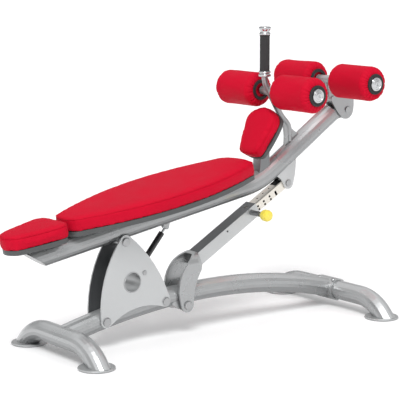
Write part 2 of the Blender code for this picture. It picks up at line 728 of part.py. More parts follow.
def make_pad(shop, name, outline, origin, angle, thickness):
    pad = shop.slab(name, outline, origin, angle, thickness, "vinyl")
    round_edges(pad, PAD_EDGE, 2)


def make_torso_and_head_pads(shop):
    torso = (TORSO_START_S, TORSO_END_S, TORSO_HEAD_WIDTH, TORSO_HIP_WIDTH, (0.045, 0.045),
             TORSO_HALF_WIDTH - (TORSO_HEAD_WIDTH + TORSO_HIP_WIDTH) / 2, (0.004, 0.012))
    head = (HEAD_START_S, HEAD_END_S, HEAD_TIP_WIDTH, HEAD_NECK_WIDTH, (0.040, 0.042), 0.004,
            (0.010, 0.004))
    board = bench_point(0.0, BOARD_BOTTOM)
    cushion = bench_point(0.0, BOARD_BOTTOM + BOARD_THICKNESS + GAP)
    for name, shape in (("torso", torso), ("head", head)):
        shop.slab(f"{name}_board", pad_shape(*shape, inset=BOARD_INSET), board, BENCH_ANGLE,
                  BOARD_THICKNESS, "board")
        make_pad(shop, f"{name}_pad", pad_shape(*shape), cushion, BENCH_ANGLE, PAD_THICKNESS)


def make_pad_brackets(shop):
    """Cross straps on top of the tube that the boards are screwed to."""
    low, high = FRAME_RADIUS + GAP, BOARD_BOTTOM - GAP
    middle = (low + high) / 2
    straps = (("head", -0.350, 0.060, 0.090), ("torso_front", 0.010, 0.050, 0.150),
              ("torso_rear", 0.300, 0.050, 0.150))
    for name, s, length, width in straps:
        shop.box(f"{name}_strap", bench_point(s, middle), (length, width, high - low),
                 angle=BENCH_ANGLE, material="frame", bevel=0.0015)


def seat_point(along, out):
    return Vector((SEAT_X, 0.0, SEAT_Z)) + SEAT_DIR * along + SEAT_OUT * out


def make_seat(shop, tube_cutter):
    shape = (0.0, SEAT_LENGTH, SEAT_LOW_WIDTH, SEAT_HIGH_WIDTH, (0.024, 0.050), 0.004,
             (0.004, 0.012))
    shop.slab("seat_board", pad_shape(*shape, inset=0.003), seat_point(0.0, 0.0), SEAT_ANGLE,
              SEAT_BOARD_THICKNESS, "board")
    make_pad(shop, "seat_pad", pad_shape(*shape), seat_point(0.0, SEAT_BOARD_THICKNESS + GAP),
             SEAT_ANGLE, SEAT_THICKNESS)
    radius = 0.004
    corners = [bench_point(BEND_S - 0.010, 0.02), upper_point(0.060, 0.02),
               seat_point(0.110, -radius - GAP), seat_point(0.012, -radius - GAP)]
    bosses = [(corner.x, corner.z, radius) for corner in corners]
    bracket = shop.plate("seat_bracket", curved_outline(bosses, [0.0, -0.006, 0.0, -0.004], 3, 5),
                         -0.022, 0.022, "frame")
    combine(bracket, tube_cutter)


def bent_path(corners, cut, steps=4):
    """A path through corners, each rounded by a curve that starts the cut's length before it."""
    points = [corners[0]]
    for before, corner, after in zip(corners, corners[1:], corners[2:]):
        start = corner + (before - corner).normalized() * cut
        stop = corner + (after - corner).normalized() * cut
        for step in range(steps + 1):
            t = step / steps
            points.append(start.lerp(corner, t).lerp(corner.lerp(stop, t), t))
    return points + [corners[-1]]


def make_arm_path():
    """Axis of the handle's arm: S-bent from the bench tube up to the upright grip."""
    foot = upper_point(ARM_FOOT_S, FRAME_RADIUS - 0.002)
    elbow = foot + Vector((-0.004, 0.0, 0.062))
    crook = foot + Vector((-0.045, 0.0, 0.102))
    shoulder = Vector((HANDLE_X, 0.0, KNEE_AXLE_Z + 0.034))
    top = Vector((HANDLE_X, 0.0, HANDLE_TOP_Z - 0.010))
    return bent_path([foot, elbow, crook, shoulder, top], 0.022)


def make_handle(shop, tube_cutter):
    arm = shop.tube("handle_arm", make_arm_path(), ARM_RADIUS, "frame", resolution=5)
    foot = upper_point(ARM_FOOT_S, FRAME_RADIUS)
    left, right = upper_point(ARM_FOOT_S - 0.034, 0.030), upper_point(ARM_FOOT_S + 0.050, 0.030)
    peak = foot + Vector((-0.026, 0.0, 0.074))
    outline = curved_outline([(left.x, left.z, 0.003), (right.x, right.z, 0.003),
                              (peak.x, peak.z, 0.008)], [0.0, -0.006, -0.006], 4, 6)
    web = shop.plate("handle_web", outline, -ARM_GUSSET_HALF, ARM_GUSSET_HALF, cutter=True)
    sleeve = shop.cylinder("knee_sleeve", across(KNEE_AXLE, -0.045), across(KNEE_AXLE, 0.045),
                           AXLE_SLEEVE_RADIUS, cutter=True)
    bore = shop.cylinder("knee_bore", across(KNEE_AXLE, -0.1), across(KNEE_AXLE, 0.1),
                         AXLE_RADIUS + GAP, cutter=True)
    combine(combine(arm, web, "UNION"), sleeve, "UNION")
    combine(combine(arm, bore), tube_cutter)
    make_handle_grip(shop)


def make_handle_grip(shop):
    inner = ARM_RADIUS + GAP
    rings = (("handle_collar", GRIP_BOTTOM_Z - COLLAR_HEIGHT, GRIP_BOTTOM_Z - GAP, COLLAR_RADIUS,
              0.004, "chrome"),
             ("handle_grip", GRIP_BOTTOM_Z, GRIP_TOP_Z, GRIP_RADIUS, 0.002, "rubber"))
    for name, low, high, radius, edge, material in rings:
        profile = [(radius - edge, high), (radius, high - edge), (radius, low + edge),
                   (radius - edge, low), (inner, low), (inner, high)]
        shop.turned(name, profile, Vector((HANDLE_X, 0.0, 0.0)), material, sides=28)
    base = Vector((HANDLE_X, 0.0, GRIP_TOP_Z + GAP))
    cap = shop.cylinder("handle_cap", base, Vector((HANDLE_X, 0.0, HANDLE_TOP_Z)), CAP_RADIUS,
                        "chrome", sides=28)
    hole = shop.cylinder("handle_cap_bore", base - Vector((0.0, 0.0, 0.02)),
                         Vector((HANDLE_X, 0.0, HANDLE_TOP_Z - 0.009)), inner, cutter=True)
    round_edges(cap, 0.006, 2)
    combine(cap, hole)


def make_axle(shop, name, centre):
    """An axle with a flanged cap at each end that keeps its two rollers on."""
    reach = ROLLER_SPACE / 2 + ROLLER_LENGTH + 2 * GAP
    axle = shop.cylinder(name, across(centre, -reach - AXLE_CAP_THICKNESS / 2),
                         across(centre, reach + AXLE_CAP_THICKNESS / 2), AXLE_RADIUS, "chrome")
    for label, sign in (("near", -1.0), ("far", 1.0)):
        cap = shop.cylinder(f"{name}_{label}_cap", across(centre, sign * reach),
                            across(centre, sign * (reach + AXLE_CAP_THICKNESS)),
                            AXLE_CAP_RADIUS, sides=24, cutter=True)
        round_edges(cap, 0.003, 1)
        combine(axle, cap, "UNION")


def make_foot_lug(shop):
    """The fixed lug on the tube's foot end, its pin and its rubber stop."""
    radius = 0.004
    start = UPPER_LENGTH + GAP + radius
    low, high = upper_point(start, -0.031), upper_point(start, 0.010)
    bosses = [(low.x, low.z, radius), (FOOT_PIVOT.x, FOOT_PIVOT.z, 0.019), (high.x, high.z, radius)]
    lug = shop.plate("foot_hinge_lug", curved_outline(bosses, [0.0, -0.003, 0.0], 6, 4),
                     -FOOT_LUG_HALF, FOOT_LUG_HALF, "frame")
    bore = shop.cylinder("foot_lug_bore", across(FOOT_PIVOT, -0.1), across(FOOT_PIVOT, 0.1),
                         PLATE_BOLT_RADIUS + GAP, cutter=True)
    combine(lug, bore)
    down = direction(-62.0)
    shop.box("foot_stop_bumper", FOOT_PIVOT + down * (0.019 + GAP + 0.0055),
             (0.011, 0.024, 0.014), angle=-62.0, material="rubber", bevel=0.001)
    tab_outer = FOOT_LUG_HALF + GAP + FOOT_TAB_THICKNESS
    make_through_bolt(shop, "foot_pivot_pin", FOOT_PIVOT, PLATE_BOLT_RADIUS, tab_outer + GAP,
                      0.0125, 0.005, "frame")


def make_gas_lug(shop, tube_cutter):
    """The forked lug under the tube, with its cross pin, that holds the gas spring's rod."""
    low = across(GAS_TOP, 0.0)
    root = bench_point((GAS_TOP - BENCH_PIVOT).dot(BENCH_DIR), -FRAME_RADIUS + 0.008)
    outline = curved_outline([(low.x, low.z, 0.0085), (root.x + 0.014, root.z, 0.003),
                              (root.x - 0.014, root.z, 0.003)], [0.0, 0.0, 0.0], 6, 1)
    lug = shop.plate("gas_upper_lug", outline, -0.011, 0.011, "frame")
    slot = shop.box("gas_lug_slot", GAS_TOP, (0.06, 2 * (GAS_EYE_HALF + 0.0006), 0.024),
                    angle=BENCH_ANGLE, cutter=True)
    pin = shop.cylinder("gas_lug_pin", across(GAS_TOP, -0.0105), across(GAS_TOP, 0.0105),
                        GAS_PIN_RADIUS, sides=16, cutter=True)
    combine(combine(combine(lug, slot), tube_cutter), pin, "UNION")


def make_bench(shop):
    make_bench_tube(shop)
    make_pivot_hub(shop)
    tube_cutter = make_gussets(shop)
    make_torso_and_head_pads(shop)
    make_pad_brackets(shop)
    make_seat(shop, tube_cutter)
    make_handle(shop, tube_cutter)
    make_axle(shop, "knee_axle", KNEE_AXLE)
    make_foot_lug(shop)
    make_gas_lug(shop, tube_cutter)


# --- Foot frame and rollers ----------------------------------------------------------------------
def make_foot_link(shop):
    """Two tabs on the hinge lug, bridged at the top, with the neck and the axle's sleeve."""
    outer = FOOT_LUG_HALF + GAP + FOOT_TAB_THICKNESS
    bridge = FOOT_PIVOT.z + 0.044
    bosses = [(FOOT_PIVOT.x - 0.006, FOOT_PIVOT.z, 0.038), (FOOT_PIVOT.x + 0.022, bridge + 0.003, 0.010),
              (NECK_X - 0.004, bridge, 0.013)]
    link = shop.plate("foot_link", curved_outline(bosses, [0.003, 0.0, 0.003], 8, 4),
                      -outer, outer, "frame")
    slot = shop.box("foot_link_slot", Vector((FOOT_PIVOT.x, 0.0, bridge - 0.113)),
                    (0.3, 2 * (FOOT_LUG_HALF + GAP), 0.2), cutter=True)
    neck = shop.tube("foot_neck", [Vector((NECK_X, 0.0, bridge)), FOOT_AXLE], NECK_RADIUS,
                     cutter=True)
    sleeve = shop.cylinder("foot_sleeve", across(FOOT_AXLE, -0.052), across(FOOT_AXLE, 0.052),
                           AXLE_SLEEVE_RADIUS, cutter=True)
    bore = shop.cylinder("foot_bore", across(FOOT_AXLE, -0.1), across(FOOT_AXLE, 0.1),
                         AXLE_RADIUS + GAP, cutter=True)
    hinge = shop.cylinder("foot_hinge_bore", across(FOOT_PIVOT, -0.1), across(FOOT_PIVOT, 0.1),
                          PLATE_BOLT_RADIUS + GAP, cutter=True)
    combine(combine(combine(link, slot), neck, "UNION"), sleeve, "UNION")
    combine(combine(link, bore), hinge)


def roller_profile():
    """Closed profile of a roller: round shoulders, flat ends and a bore."""
    half = ROLLER_LENGTH / 2
    shoulder = ROLLER_RADIUS - ROLLER_END_RADIUS
    upper = []
    steps = 4
    for step in range(steps + 1):
        angle = math.radians(90.0 - 90.0 * step / steps)
        upper.append((ROLLER_END_RADIUS + shoulder * math.cos(angle),
                      half - shoulder + shoulder * math.sin(angle)))
    lower = [(radius, -height) for radius, height in reversed(upper)]
    return upper + lower + [(ROLLER_BORE, -half), (ROLLER_BORE, half)]


def make_roller(shop, name, axle, side):
    y = side * (ROLLER_SPACE + ROLLER_LENGTH) / 2
    shop.turned(name, roller_profile(), across(axle, y), "vinyl", turn=90.0, sides=28)


# --- Adjuster ------------------------------------------------------------------------------------
def make_yoke(shop):
    """An arched strap that straddles the spine; its back wall takes the tube's lower end."""
    outer_half = YOKE_INNER_HALF + YOKE_STRAP
    spring_z = YOKE_CROWN_TOP - outer_half
    low, high = adjuster_point(-0.006, -0.0145), adjuster_point(0.001, 0.0275)
    bosses = [(YOKE_PIVOT.x, YOKE_PIVOT.z, 0.0285), (low.x, low.z, 0.006), (high.x, high.z, 0.006)]
    outline = curved_outline(bosses, [-0.0145, 0.0, 0.042], 6, 9)
    yoke = shop.plate("adjuster_yoke", outline, -0.1, 0.1, "frame")
    back, front = YOKE_PIVOT.x + 0.2, YOKE_PIVOT.x - 0.1
    envelope = shop.arch("yoke_envelope", outer_half, spring_z, front, back)
    opening = shop.arch("yoke_opening", YOKE_INNER_HALF, spring_z, front - 0.01, back + 0.01)
    wall = shop.box("yoke_back_wall", adjuster_point(0.15 - YOKE_BACK_WALL, 0.065), (0.3, 0.3, 0.2),
                    angle=ADJUSTER_ANGLE, cutter=True)
    bore = shop.cylinder("yoke_bore", across(YOKE_PIVOT, -0.1), across(YOKE_PIVOT, 0.1),
                         PLATE_BOLT_RADIUS + GAP, cutter=True)
    socket = shop.box("yoke_socket", adjuster_point(OUTER_LENGTH / 2, 0.0),
                      (OUTER_LENGTH, OUTER_WIDTH + 2 * GAP, OUTER_HEIGHT + 2 * GAP),
                      angle=ADJUSTER_ANGLE, cutter=True)
    combine(yoke, envelope, "INTERSECT")
    for tool in (combine(opening, wall), bore, socket):
        combine(yoke, tool)
    inner = OUTER_WIDTH / 2
    for side, sign in (("near", -1.0), ("far", 1.0)):
        taper = [(-0.020, sign * outer_half), (0.012, sign * inner), (0.080, sign * inner),
                 (0.080, sign * 0.12), (-0.020, sign * 0.12)]
        combine(yoke, shop.slab(f"yoke_taper_{side}", taper, adjuster_point(0.0, -0.06),
                                ADJUSTER_ANGLE, 0.12, cutter=True))


def make_outer_tube(shop):
    tube = shop.box("adjuster_tube", adjuster_point(OUTER_LENGTH / 2 + GAP, 0.0),
                    (OUTER_LENGTH - 2 * GAP, OUTER_WIDTH, OUTER_HEIGHT), angle=ADJUSTER_ANGLE,
                    material="frame")
    hollow = shop.box("adjuster_hollow", adjuster_point(OUTER_LENGTH / 2, 0.0),
                      (OUTER_LENGTH + 0.1, OUTER_WIDTH - 2 * OUTER_WALL,
                       OUTER_HEIGHT - 2 * OUTER_WALL), angle=ADJUSTER_ANGLE, cutter=True)
    window_a = OUTER_LENGTH - 0.030
    window = shop.cylinder("adjuster_window", adjuster_point(window_a, 0.0),
                           adjuster_point(window_a, OUTER_HEIGHT), WINDOW_RADIUS, cutter=True)
    pin_hole = shop.cylinder("adjuster_pin_hole", adjuster_point(PIN_A, PIN_B, -0.1),
                             adjuster_point(PIN_A, PIN_B, 0.0), PLUNGER_RADIUS + GAP, cutter=True)
    side_hole = shop.cylinder("adjuster_side_hole", adjuster_point(0.165, 0.012, -0.1),
                              adjuster_point(0.165, 0.012, 0.0), 0.004, sides=16, cutter=True)
    for tool in (hollow, window, pin_hole, side_hole):
        combine(tube, tool)
    round_edges(tube, 0.001, 1)


def make_pin_barrel(shop):
    face = -OUTER_WIDTH / 2 - GAP
    barrel = shop.cylinder("pin_barrel", adjuster_point(PIN_A, PIN_B, face - PIN_BARREL_LENGTH),
                           adjuster_point(PIN_A, PIN_B, face), PIN_BARREL_RADIUS, "frame")
    bore = shop.cylinder("pin_barrel_bore", adjuster_point(PIN_A, PIN_B, -0.2),
                         adjuster_point(PIN_A, PIN_B, 0.0), PLUNGER_RADIUS + GAP, cutter=True)
    combine(barrel, bore)


def make_pull_pin(shop):
    """The plunger, which stops just short of the channel's wall, and its ball knob."""
    tip = -CHANNEL_WIDTH / 2 - 0.0005
    start = -OUTER_WIDTH / 2 - PIN_BARREL_LENGTH - PIN_NECK_LENGTH - 2 * GAP
    depth = 0.008
    shop.cylinder("pin_plunger", adjuster_point(PIN_A, PIN_B, start - depth),
                  adjuster_point(PIN_A, PIN_B, tip), PLUNGER_RADIUS, "chrome")
    knob = shop.cylinder("pin_knob", adjuster_point(PIN_A, PIN_B, start - KNOB_LENGTH),
                         adjuster_point(PIN_A, PIN_B, start), KNOB_RADIUS, "yellow", sides=24)
    hole = shop.cylinder("pin_knob_bore", adjuster_point(PIN_A, PIN_B, start - depth - GAP),
                         adjuster_point(PIN_A, PIN_B, 0.0), PLUNGER_RADIUS + GAP, cutter=True)
    round_edges(knob, 0.011, 2)
    combine(knob, hole)


def make_channel(shop):
    """The sliding channel: a closed tube with rows of holes, cut open at its upper end."""
    end = ADJUSTER_REACH + CHANNEL_OVERRUN
    middle = (CHANNEL_START + end) / 2
    length = end - CHANNEL_START
    inner_width = CHANNEL_WIDTH - 2 * CHANNEL_WALL
    inner_height = CHANNEL_HEIGHT - 2 * CHANNEL_WALL
    channel = shop.box("adjuster_channel", adjuster_point(middle, CHANNEL_RISE),
                       (length, CHANNEL_WIDTH, CHANNEL_HEIGHT), angle=ADJUSTER_ANGLE,
                       material="stainless", bevel=CHANNEL_EDGE)
    hollow = shop.box("channel_hollow", adjuster_point(middle, CHANNEL_RISE),
                      (length + 0.1, inner_width, inner_height), angle=ADJUSTER_ANGLE, cutter=True)
    mouth_a = end - CHANNEL_MOUTH
    mouth = shop.box("channel_mouth", adjuster_point(mouth_a + 0.1, CHANNEL_RISE + CHANNEL_HEIGHT / 2),
                     (0.2, inner_width, CHANNEL_HEIGHT - 0.008), angle=ADJUSTER_ANGLE, cutter=True)
    bore = shop.cylinder("channel_end_bore", across(TOP_PIVOT, -0.1), across(TOP_PIVOT, 0.1),
                         TOP_PIN_RADIUS + TOP_PIN_PLAY, cutter=True)
    slot = shop.box("channel_slot", adjuster_point(ADJUSTER_REACH - 0.0675, -0.003, -CHANNEL_WIDTH / 2),
                    (0.010, 0.02, 0.019), angle=ADJUSTER_ANGLE, cutter=True)
    for tool in (hollow, mouth, bore, slot):
        combine(channel, tool)
    for row in range(HOLE_ROWS):
        top_a = ADJUSTER_REACH - 0.075 - HOLE_PITCH * row
        top = shop.cylinder(f"channel_top_hole_{row}", adjuster_point(top_a, 0.0),
                            adjuster_point(top_a, CHANNEL_HEIGHT), ROUND_HOLE_RADIUS, sides=8,
                            cutter=True)
        combine(channel, top)
        for label, height in zip(("low", "high"), HOLE_HEIGHTS):
            centre = adjuster_point(ADJUSTER_REACH - 0.100 - HOLE_PITCH * row, height,
                                    -CHANNEL_WIDTH / 2)
            hole = shop.box(f"channel_{label}_hole_{row}", centre, (SQUARE_HOLE, 0.02, SQUARE_HOLE),
                            angle=ADJUSTER_ANGLE, cutter=True)
            combine(channel, hole)
    plug_start, plug_end = mouth_a - 0.004, ADJUSTER_REACH - TOP_PIN_RADIUS - 0.010
    shop.box("channel_plug", adjuster_point((plug_start + plug_end) / 2, CHANNEL_RISE),
             (plug_end - plug_start, inner_width - 2 * GAP, inner_height - 2 * GAP),
             angle=ADJUSTER_ANGLE, material="rubber", bevel=0.001)


# --- Gas spring ----------------------------------------------------------------------------------
def gas_point(along, y=0.0):
    return GAS_LOW + GAS_DIR * along + AXIS_Y * y


def make_eye(shop, name, pivot_along, hole_radius, neck_from, neck_to, radius, material):
    """A flat eye with a neck towards the spring's body."""
    centre = gas_point(pivot_along)
    piece = shop.cylinder(name, gas_point(neck_from), gas_point(neck_to), radius, material)
    eye = shop.cylinder(f"{name}_eye", across(centre, -GAS_EYE_HALF), across(centre, GAS_EYE_HALF),
                        GAS_EYE_RADIUS, cutter=True)
    hole = shop.cylinder(f"{name}_eye_hole", across(centre, -0.05), across(centre, 0.05),
                         hole_radius, sides=16, cutter=True)
    combine(combine(piece, eye, "UNION"), hole)
    return piece


def make_gas_cylinder(shop):
    cylinder = make_eye(shop, "gas_cylinder", 0.0, GAS_PIN_RADIUS + GAP, 0.0065, GAS_CYLINDER_END,
                        GAS_CYLINDER_RADIUS, "rubber")
    bore = shop.cylinder("gas_cylinder_bore", gas_point(0.060), gas_point(0.25),
                         GAS_ROD_RADIUS + GAP, sides=16, cutter=True)
    combine(cylinder, bore)


def make_gas_rod(shop):
    length = (GAS_TOP - GAS_LOW).length
    make_eye(shop, "gas_rod", length, GAS_PIN_RADIUS + GAS_TOP_PLAY, 0.095, length - 0.0065,
             GAS_ROD_RADIUS, "chrome")


# --- Assembly ------------------------------------------------------------------------------------
def main():
    fresh_scene()
    palette = make_palette()
    root = make_pivot("base", Vector((-MACHINE_ORIGIN_X, 0.0, 0.0)))
    bench = make_pivot("bench_tilt", BENCH_PIVOT, root)
    outer = make_pivot("adjuster_swing", YOKE_PIVOT, root)
    inner = make_pivot("adjuster_slide", adjuster_point(0.0, 0.0), outer)
    pin = make_pivot("pin_pull", adjuster_point(PIN_A, PIN_B, -OUTER_WIDTH / 2), outer)
    gas = make_pivot("gas_swing", GAS_LOW, root)
    rod = make_pivot("gas_slide", GAS_LOW, gas)
    foot = make_pivot("foot_frame_swing", FOOT_PIVOT, bench)

    make_base(Workshop(root, palette))
    make_bench(Workshop(bench, palette))
    adjuster = Workshop(outer, palette)
    make_yoke(adjuster)
    make_outer_tube(adjuster)
    make_pin_barrel(adjuster)
    make_channel(Workshop(inner, palette))
    make_pull_pin(Workshop(pin, palette))
    make_gas_cylinder(Workshop(gas, palette))
    make_gas_rod(Workshop(rod, palette))
    foot_shop = Workshop(foot, palette)
    make_foot_link(foot_shop)
    make_axle(foot_shop, "foot_axle", FOOT_AXLE)
    for label, axle, parent in (("knee", KNEE_AXLE, bench), ("foot", FOOT_AXLE, foot)):
        for side, sign in (("near", -1.0), ("far", 1.0)):
            spin = make_pivot(f"{label}_roller_{side}_spin", axle, parent)
            make_roller(Workshop(spin, palette), f"{label}_roller_{side}", axle, sign)


main()
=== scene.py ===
"""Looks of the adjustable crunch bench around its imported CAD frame. Metres, z up.

World x runs from the head end towards the foot rollers and y across the machine. Every soft solid
of the frame is replaced by a modelled cushion, cover or sleeve, and the handle's collar and cap by
turned ones. The other nodes keep their shape and only get a material.
"""
import math

import bmesh
import bpy
import numpy as np
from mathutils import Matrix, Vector
from mathutils.bvhtree import BVHTree


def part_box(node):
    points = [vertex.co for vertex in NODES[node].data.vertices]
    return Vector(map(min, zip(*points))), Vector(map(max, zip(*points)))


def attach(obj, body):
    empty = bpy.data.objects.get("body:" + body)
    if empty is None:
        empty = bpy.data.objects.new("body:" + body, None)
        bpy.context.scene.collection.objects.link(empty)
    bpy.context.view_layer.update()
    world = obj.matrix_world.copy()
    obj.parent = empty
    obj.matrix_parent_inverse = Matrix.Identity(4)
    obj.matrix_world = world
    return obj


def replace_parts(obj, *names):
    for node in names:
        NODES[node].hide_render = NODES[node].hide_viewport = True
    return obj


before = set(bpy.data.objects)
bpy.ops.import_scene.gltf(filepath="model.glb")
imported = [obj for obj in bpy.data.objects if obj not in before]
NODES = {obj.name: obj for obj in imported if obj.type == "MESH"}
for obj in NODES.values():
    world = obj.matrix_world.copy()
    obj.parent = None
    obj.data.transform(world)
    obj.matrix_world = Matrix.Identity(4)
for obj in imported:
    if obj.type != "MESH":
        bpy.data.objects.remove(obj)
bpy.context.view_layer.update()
SCENE = bpy.context.scene

# --- Sizes shared with the frame, in metres and degrees -------------------------------------------
BENCH_ANGLE = 9.73
SEAT_ANGLE = 63.0
ADJUSTER_ANGLE = 29.5
CHANNEL_INNER_HALF = 0.0205    # half the clear width inside the sliding channel
VIEW_AZIMUTH, VIEW_ELEVATION = -38.0, 9.417
VIEW_TARGET = Vector((0.0499, 0.0, 0.4982))
VIEW_DISTANCE = 5.726
VIEW_LENS, VIEW_SENSOR = 137.1, 36.0
# The three greys below are painted shade: undersides, one chosen side, the channel's inner walls.
SHADE_GREY = (0.10, 0.105, 0.11)
SIDE_SHADE_GREY = (0.115, 0.12, 0.125)
CHANNEL_SHADE_DARK = (0.02, 0.019, 0.018)


# --- Node materials --------------------------------------------------------------------------------
class Shader:
    """A principled material with short calls for the procedural nodes that feed it."""

    def __init__(self, name, **settings):
        self.material = bpy.data.materials.new(name)
        self.material.use_nodes = True
        self.tree = self.material.node_tree
        self.shader = self.tree.nodes["Principled BSDF"]
        for socket, value in settings.items():
            self.shader.inputs[socket.replace("_", " ")].default_value = value
        self.place = self.add("ShaderNodeTexCoord").outputs["Object"]

    def add(self, kind, inputs=None, **props):
        node = self.tree.nodes.new(kind)
        for key, value in props.items():
            setattr(node, key, value)
        for key, value in (inputs or {}).items():
            if isinstance(value, bpy.types.NodeSocket):
                self.tree.links.new(value, node.inputs[key])
            else:
                node.inputs[key].default_value = value
        return node

    def noise(self, scale, detail=3.0, place=None):
        inputs = {"Vector": place or self.place, "Scale": scale, "Detail": detail}
        return self.add("ShaderNodeTexNoise", inputs).outputs["Fac"]

    def cells(self, scale):
        node = self.add("ShaderNodeTexVoronoi", {"Vector": self.place, "Scale": scale},
                        feature="DISTANCE_TO_EDGE")
        return node.outputs["Distance"]

    def stretched(self, angle, scale):
        """Coordinates turned in the middle plane, then scaled, for a brushed grain."""
        node = self.add("ShaderNodeMapping", {"Vector": self.place, "Scale": scale})
        node.inputs["Rotation"].default_value = (0.0, math.radians(angle), 0.0)
        return node.outputs["Vector"]

    def span(self, value, low, high, start=0.3, stop=0.7):
        inputs = {"Value": value, "From Min": start, "From Max": stop, "To Min": low, "To Max": high}
        return self.add("ShaderNodeMapRange", inputs).outputs["Result"]

    def math(self, operation, first, second):
        return self.add("ShaderNodeMath", {0: first, 1: second}, operation=operation).outputs[0]

    def blend(self, factor, low, high):
        node = self.add("ShaderNodeMix", {0: factor, 6: (*low, 1.0), 7: (*high, 1.0)},
                        data_type="RGBA")
        return node.outputs[2]

    def tint(self, factor, tone, colour):
        """The tone socket, moved towards a fixed colour."""
        node = self.add("ShaderNodeMix", {0: factor, 6: tone, 7: (*colour, 1.0)}, data_type="RGBA")
        return node.outputs[2]

    def facing(self, direction):
        """Cosine between the surface's normal and a direction."""
        normal = self.add("ShaderNodeNewGeometry").outputs["Normal"]
        node = self.add("ShaderNodeVectorMath", {0: normal, 1: direction}, operation="DOT_PRODUCT")
        return node.outputs["Value"]

    def feed(self, **sockets):
        for socket, value in sockets.items():
            self.tree.links.new(value, self.shader.inputs[socket.replace("_", " ")])

    def bump(self, height, distance, strength=1.0):
        inputs = {"Height": height, "Distance": distance, "Strength": strength}
        self.feed(Normal=self.add("ShaderNodeBump", inputs).outputs["Normal"])


def scaled(colour, factor):
    return tuple(min(1.0, channel * factor) for channel in colour)


def coated_metal(name, colour, metallic, rough, side_shade=None, coat=0.30, underside_shade=0.0):
    """Silver powder coat: flake, orange peel, duller patches; painted shade on a side or below."""
    s = Shader(name, Metallic=metallic, Coat_Weight=coat, Coat_Roughness=0.16)
    flake = s.noise(2600.0, 2.0)
    patches = s.noise(7.0, 4.0)
    mixed = s.math("ADD", s.math("MULTIPLY", flake, 0.65), s.math("MULTIPLY", patches, 0.35))
    tone = s.blend(s.span(mixed, 0.0, 1.0, 0.35, 0.65), scaled(colour, 0.93), scaled(colour, 1.06))
    # Painted shade: faces turned downwards fade towards a dark grey.
    if underside_shade:
        upward = s.facing((0.0, 0.0, 1.0))
        tone = s.tint(s.span(upward, underside_shade, 0.0, -0.55, 0.45), tone, SHADE_GREY)
    # Painted shade: faces turned towards the chosen side are tinted a dark grey.
    if side_shade:
        shade = s.span(s.facing(side_shade), 0.0, 1.0, 0.80, 0.90)
        tone = s.tint(shade, tone, SIDE_SHADE_GREY)
    s.feed(Base_Color=tone, Roughness=s.span(patches, rough - 0.05, rough + 0.07))
    s.bump(s.math("ADD", s.noise(420.0, 2.0), s.math("MULTIPLY", flake, 0.35)), 0.0001, 0.45)
    return s.material


def vinyl(name, colour):
    """Upholstery vinyl: leather grain, slow shade changes and a soft sheen."""
    s = Shader(name, Sheen_Weight=0.01, Sheen_Roughness=0.5, Specular_IOR_Level=0.06)
    s.shader.inputs["Sheen Tint"].default_value = (1.0, 0.45, 0.50, 1.0)
    grain = s.cells(620.0)
    pores = s.noise(1500.0, 3.0)
    shade = s.noise(9.0, 5.0)
    pattern = s.math("ADD", s.math("MULTIPLY", s.span(grain, 0.0, 1.0, 0.0, 0.25), 0.35),
                     s.math("MULTIPLY", shade, 0.65))
    s.feed(Base_Color=s.blend(s.span(pattern, 0.0, 1.0, 0.25, 0.85), scaled(colour, 0.90),
                              scaled(colour, 1.06)),
           Roughness=s.span(shade, 0.50, 0.62))
    height = s.math("ADD", s.span(grain, 0.0, 1.0, 0.0, 0.18), s.math("MULTIPLY", pores, 0.35))
    s.bump(height, 0.00022, 0.7)
    return s.material


def polished(name, colour, rough):
    """Bright plated steel with faint hairlines and smudges."""
    s = Shader(name, Metallic=1.0)
    smudge = s.noise(60.0, 4.0)
    s.feed(Base_Color=s.blend(s.span(smudge, 0.0, 1.0), scaled(colour, 0.93), colour),
           Roughness=s.span(smudge, rough * 0.7, rough * 1.5))
    s.bump(s.noise(900.0, 2.0), 0.00003, 0.4)
    return s.material


def brushed(name, colour, angle, inner_half):
    """Stainless steel with its grain along a slope; painted shade darkens its inner side faces."""
    s = Shader(name, Metallic=1.0, Anisotropic=0.45)
    lines = s.noise(1.0, 3.0, s.stretched(angle, (14.0, 2400.0, 2400.0)))
    cloud = s.noise(22.0, 3.0)
    tone = s.blend(s.span(lines, 0.0, 1.0), scaled(colour, 0.88), scaled(colour, 1.05))
    # Painted shade: the side faces inside the channel are tinted near black.
    parts = s.add("ShaderNodeSeparateXYZ", {0: s.place})
    inside = s.math("LESS_THAN", s.math("ABSOLUTE", parts.outputs["Y"], 0.0), inner_half)
    facing = s.add("ShaderNodeSeparateXYZ", {0: s.add("ShaderNodeNewGeometry").outputs["Normal"]})
    sideways = s.math("GREATER_THAN", s.math("ABSOLUTE", facing.outputs["Y"], 0.0), 0.5)
    s.feed(Base_Color=s.tint(s.math("MULTIPLY", inside, sideways), tone, CHANNEL_SHADE_DARK),
           Roughness=s.math("ADD", s.span(lines, 0.22, 0.36), s.math("MULTIPLY", cloud, 0.06)))
    s.bump(lines, 0.00005, 0.5)
    return s.material


def moulded(name, colour, rough, scale=1300.0, depth=0.0002, coat=0.0, variation=0.12):
    """Moulded plastic or rubber: an etched surface over a slowly changing tone."""
    s = Shader(name, Coat_Weight=coat, Coat_Roughness=0.15)
    etch = s.noise(scale, 3.0)
    tone = s.noise(25.0, 4.0)
    mixed = s.math("ADD", s.math("MULTIPLY", etch, 0.5), s.math("MULTIPLY", tone, 0.5))
    s.feed(Base_Color=s.blend(s.span(mixed, 0.0, 1.0, 0.35, 0.65), scaled(colour, 1.0 - variation),
                              scaled(colour, 1.0 + variation)),
           Roughness=s.span(tone, rough - 0.06, rough + 0.08))
    s.bump(etch, depth, 0.6)
    return s.material


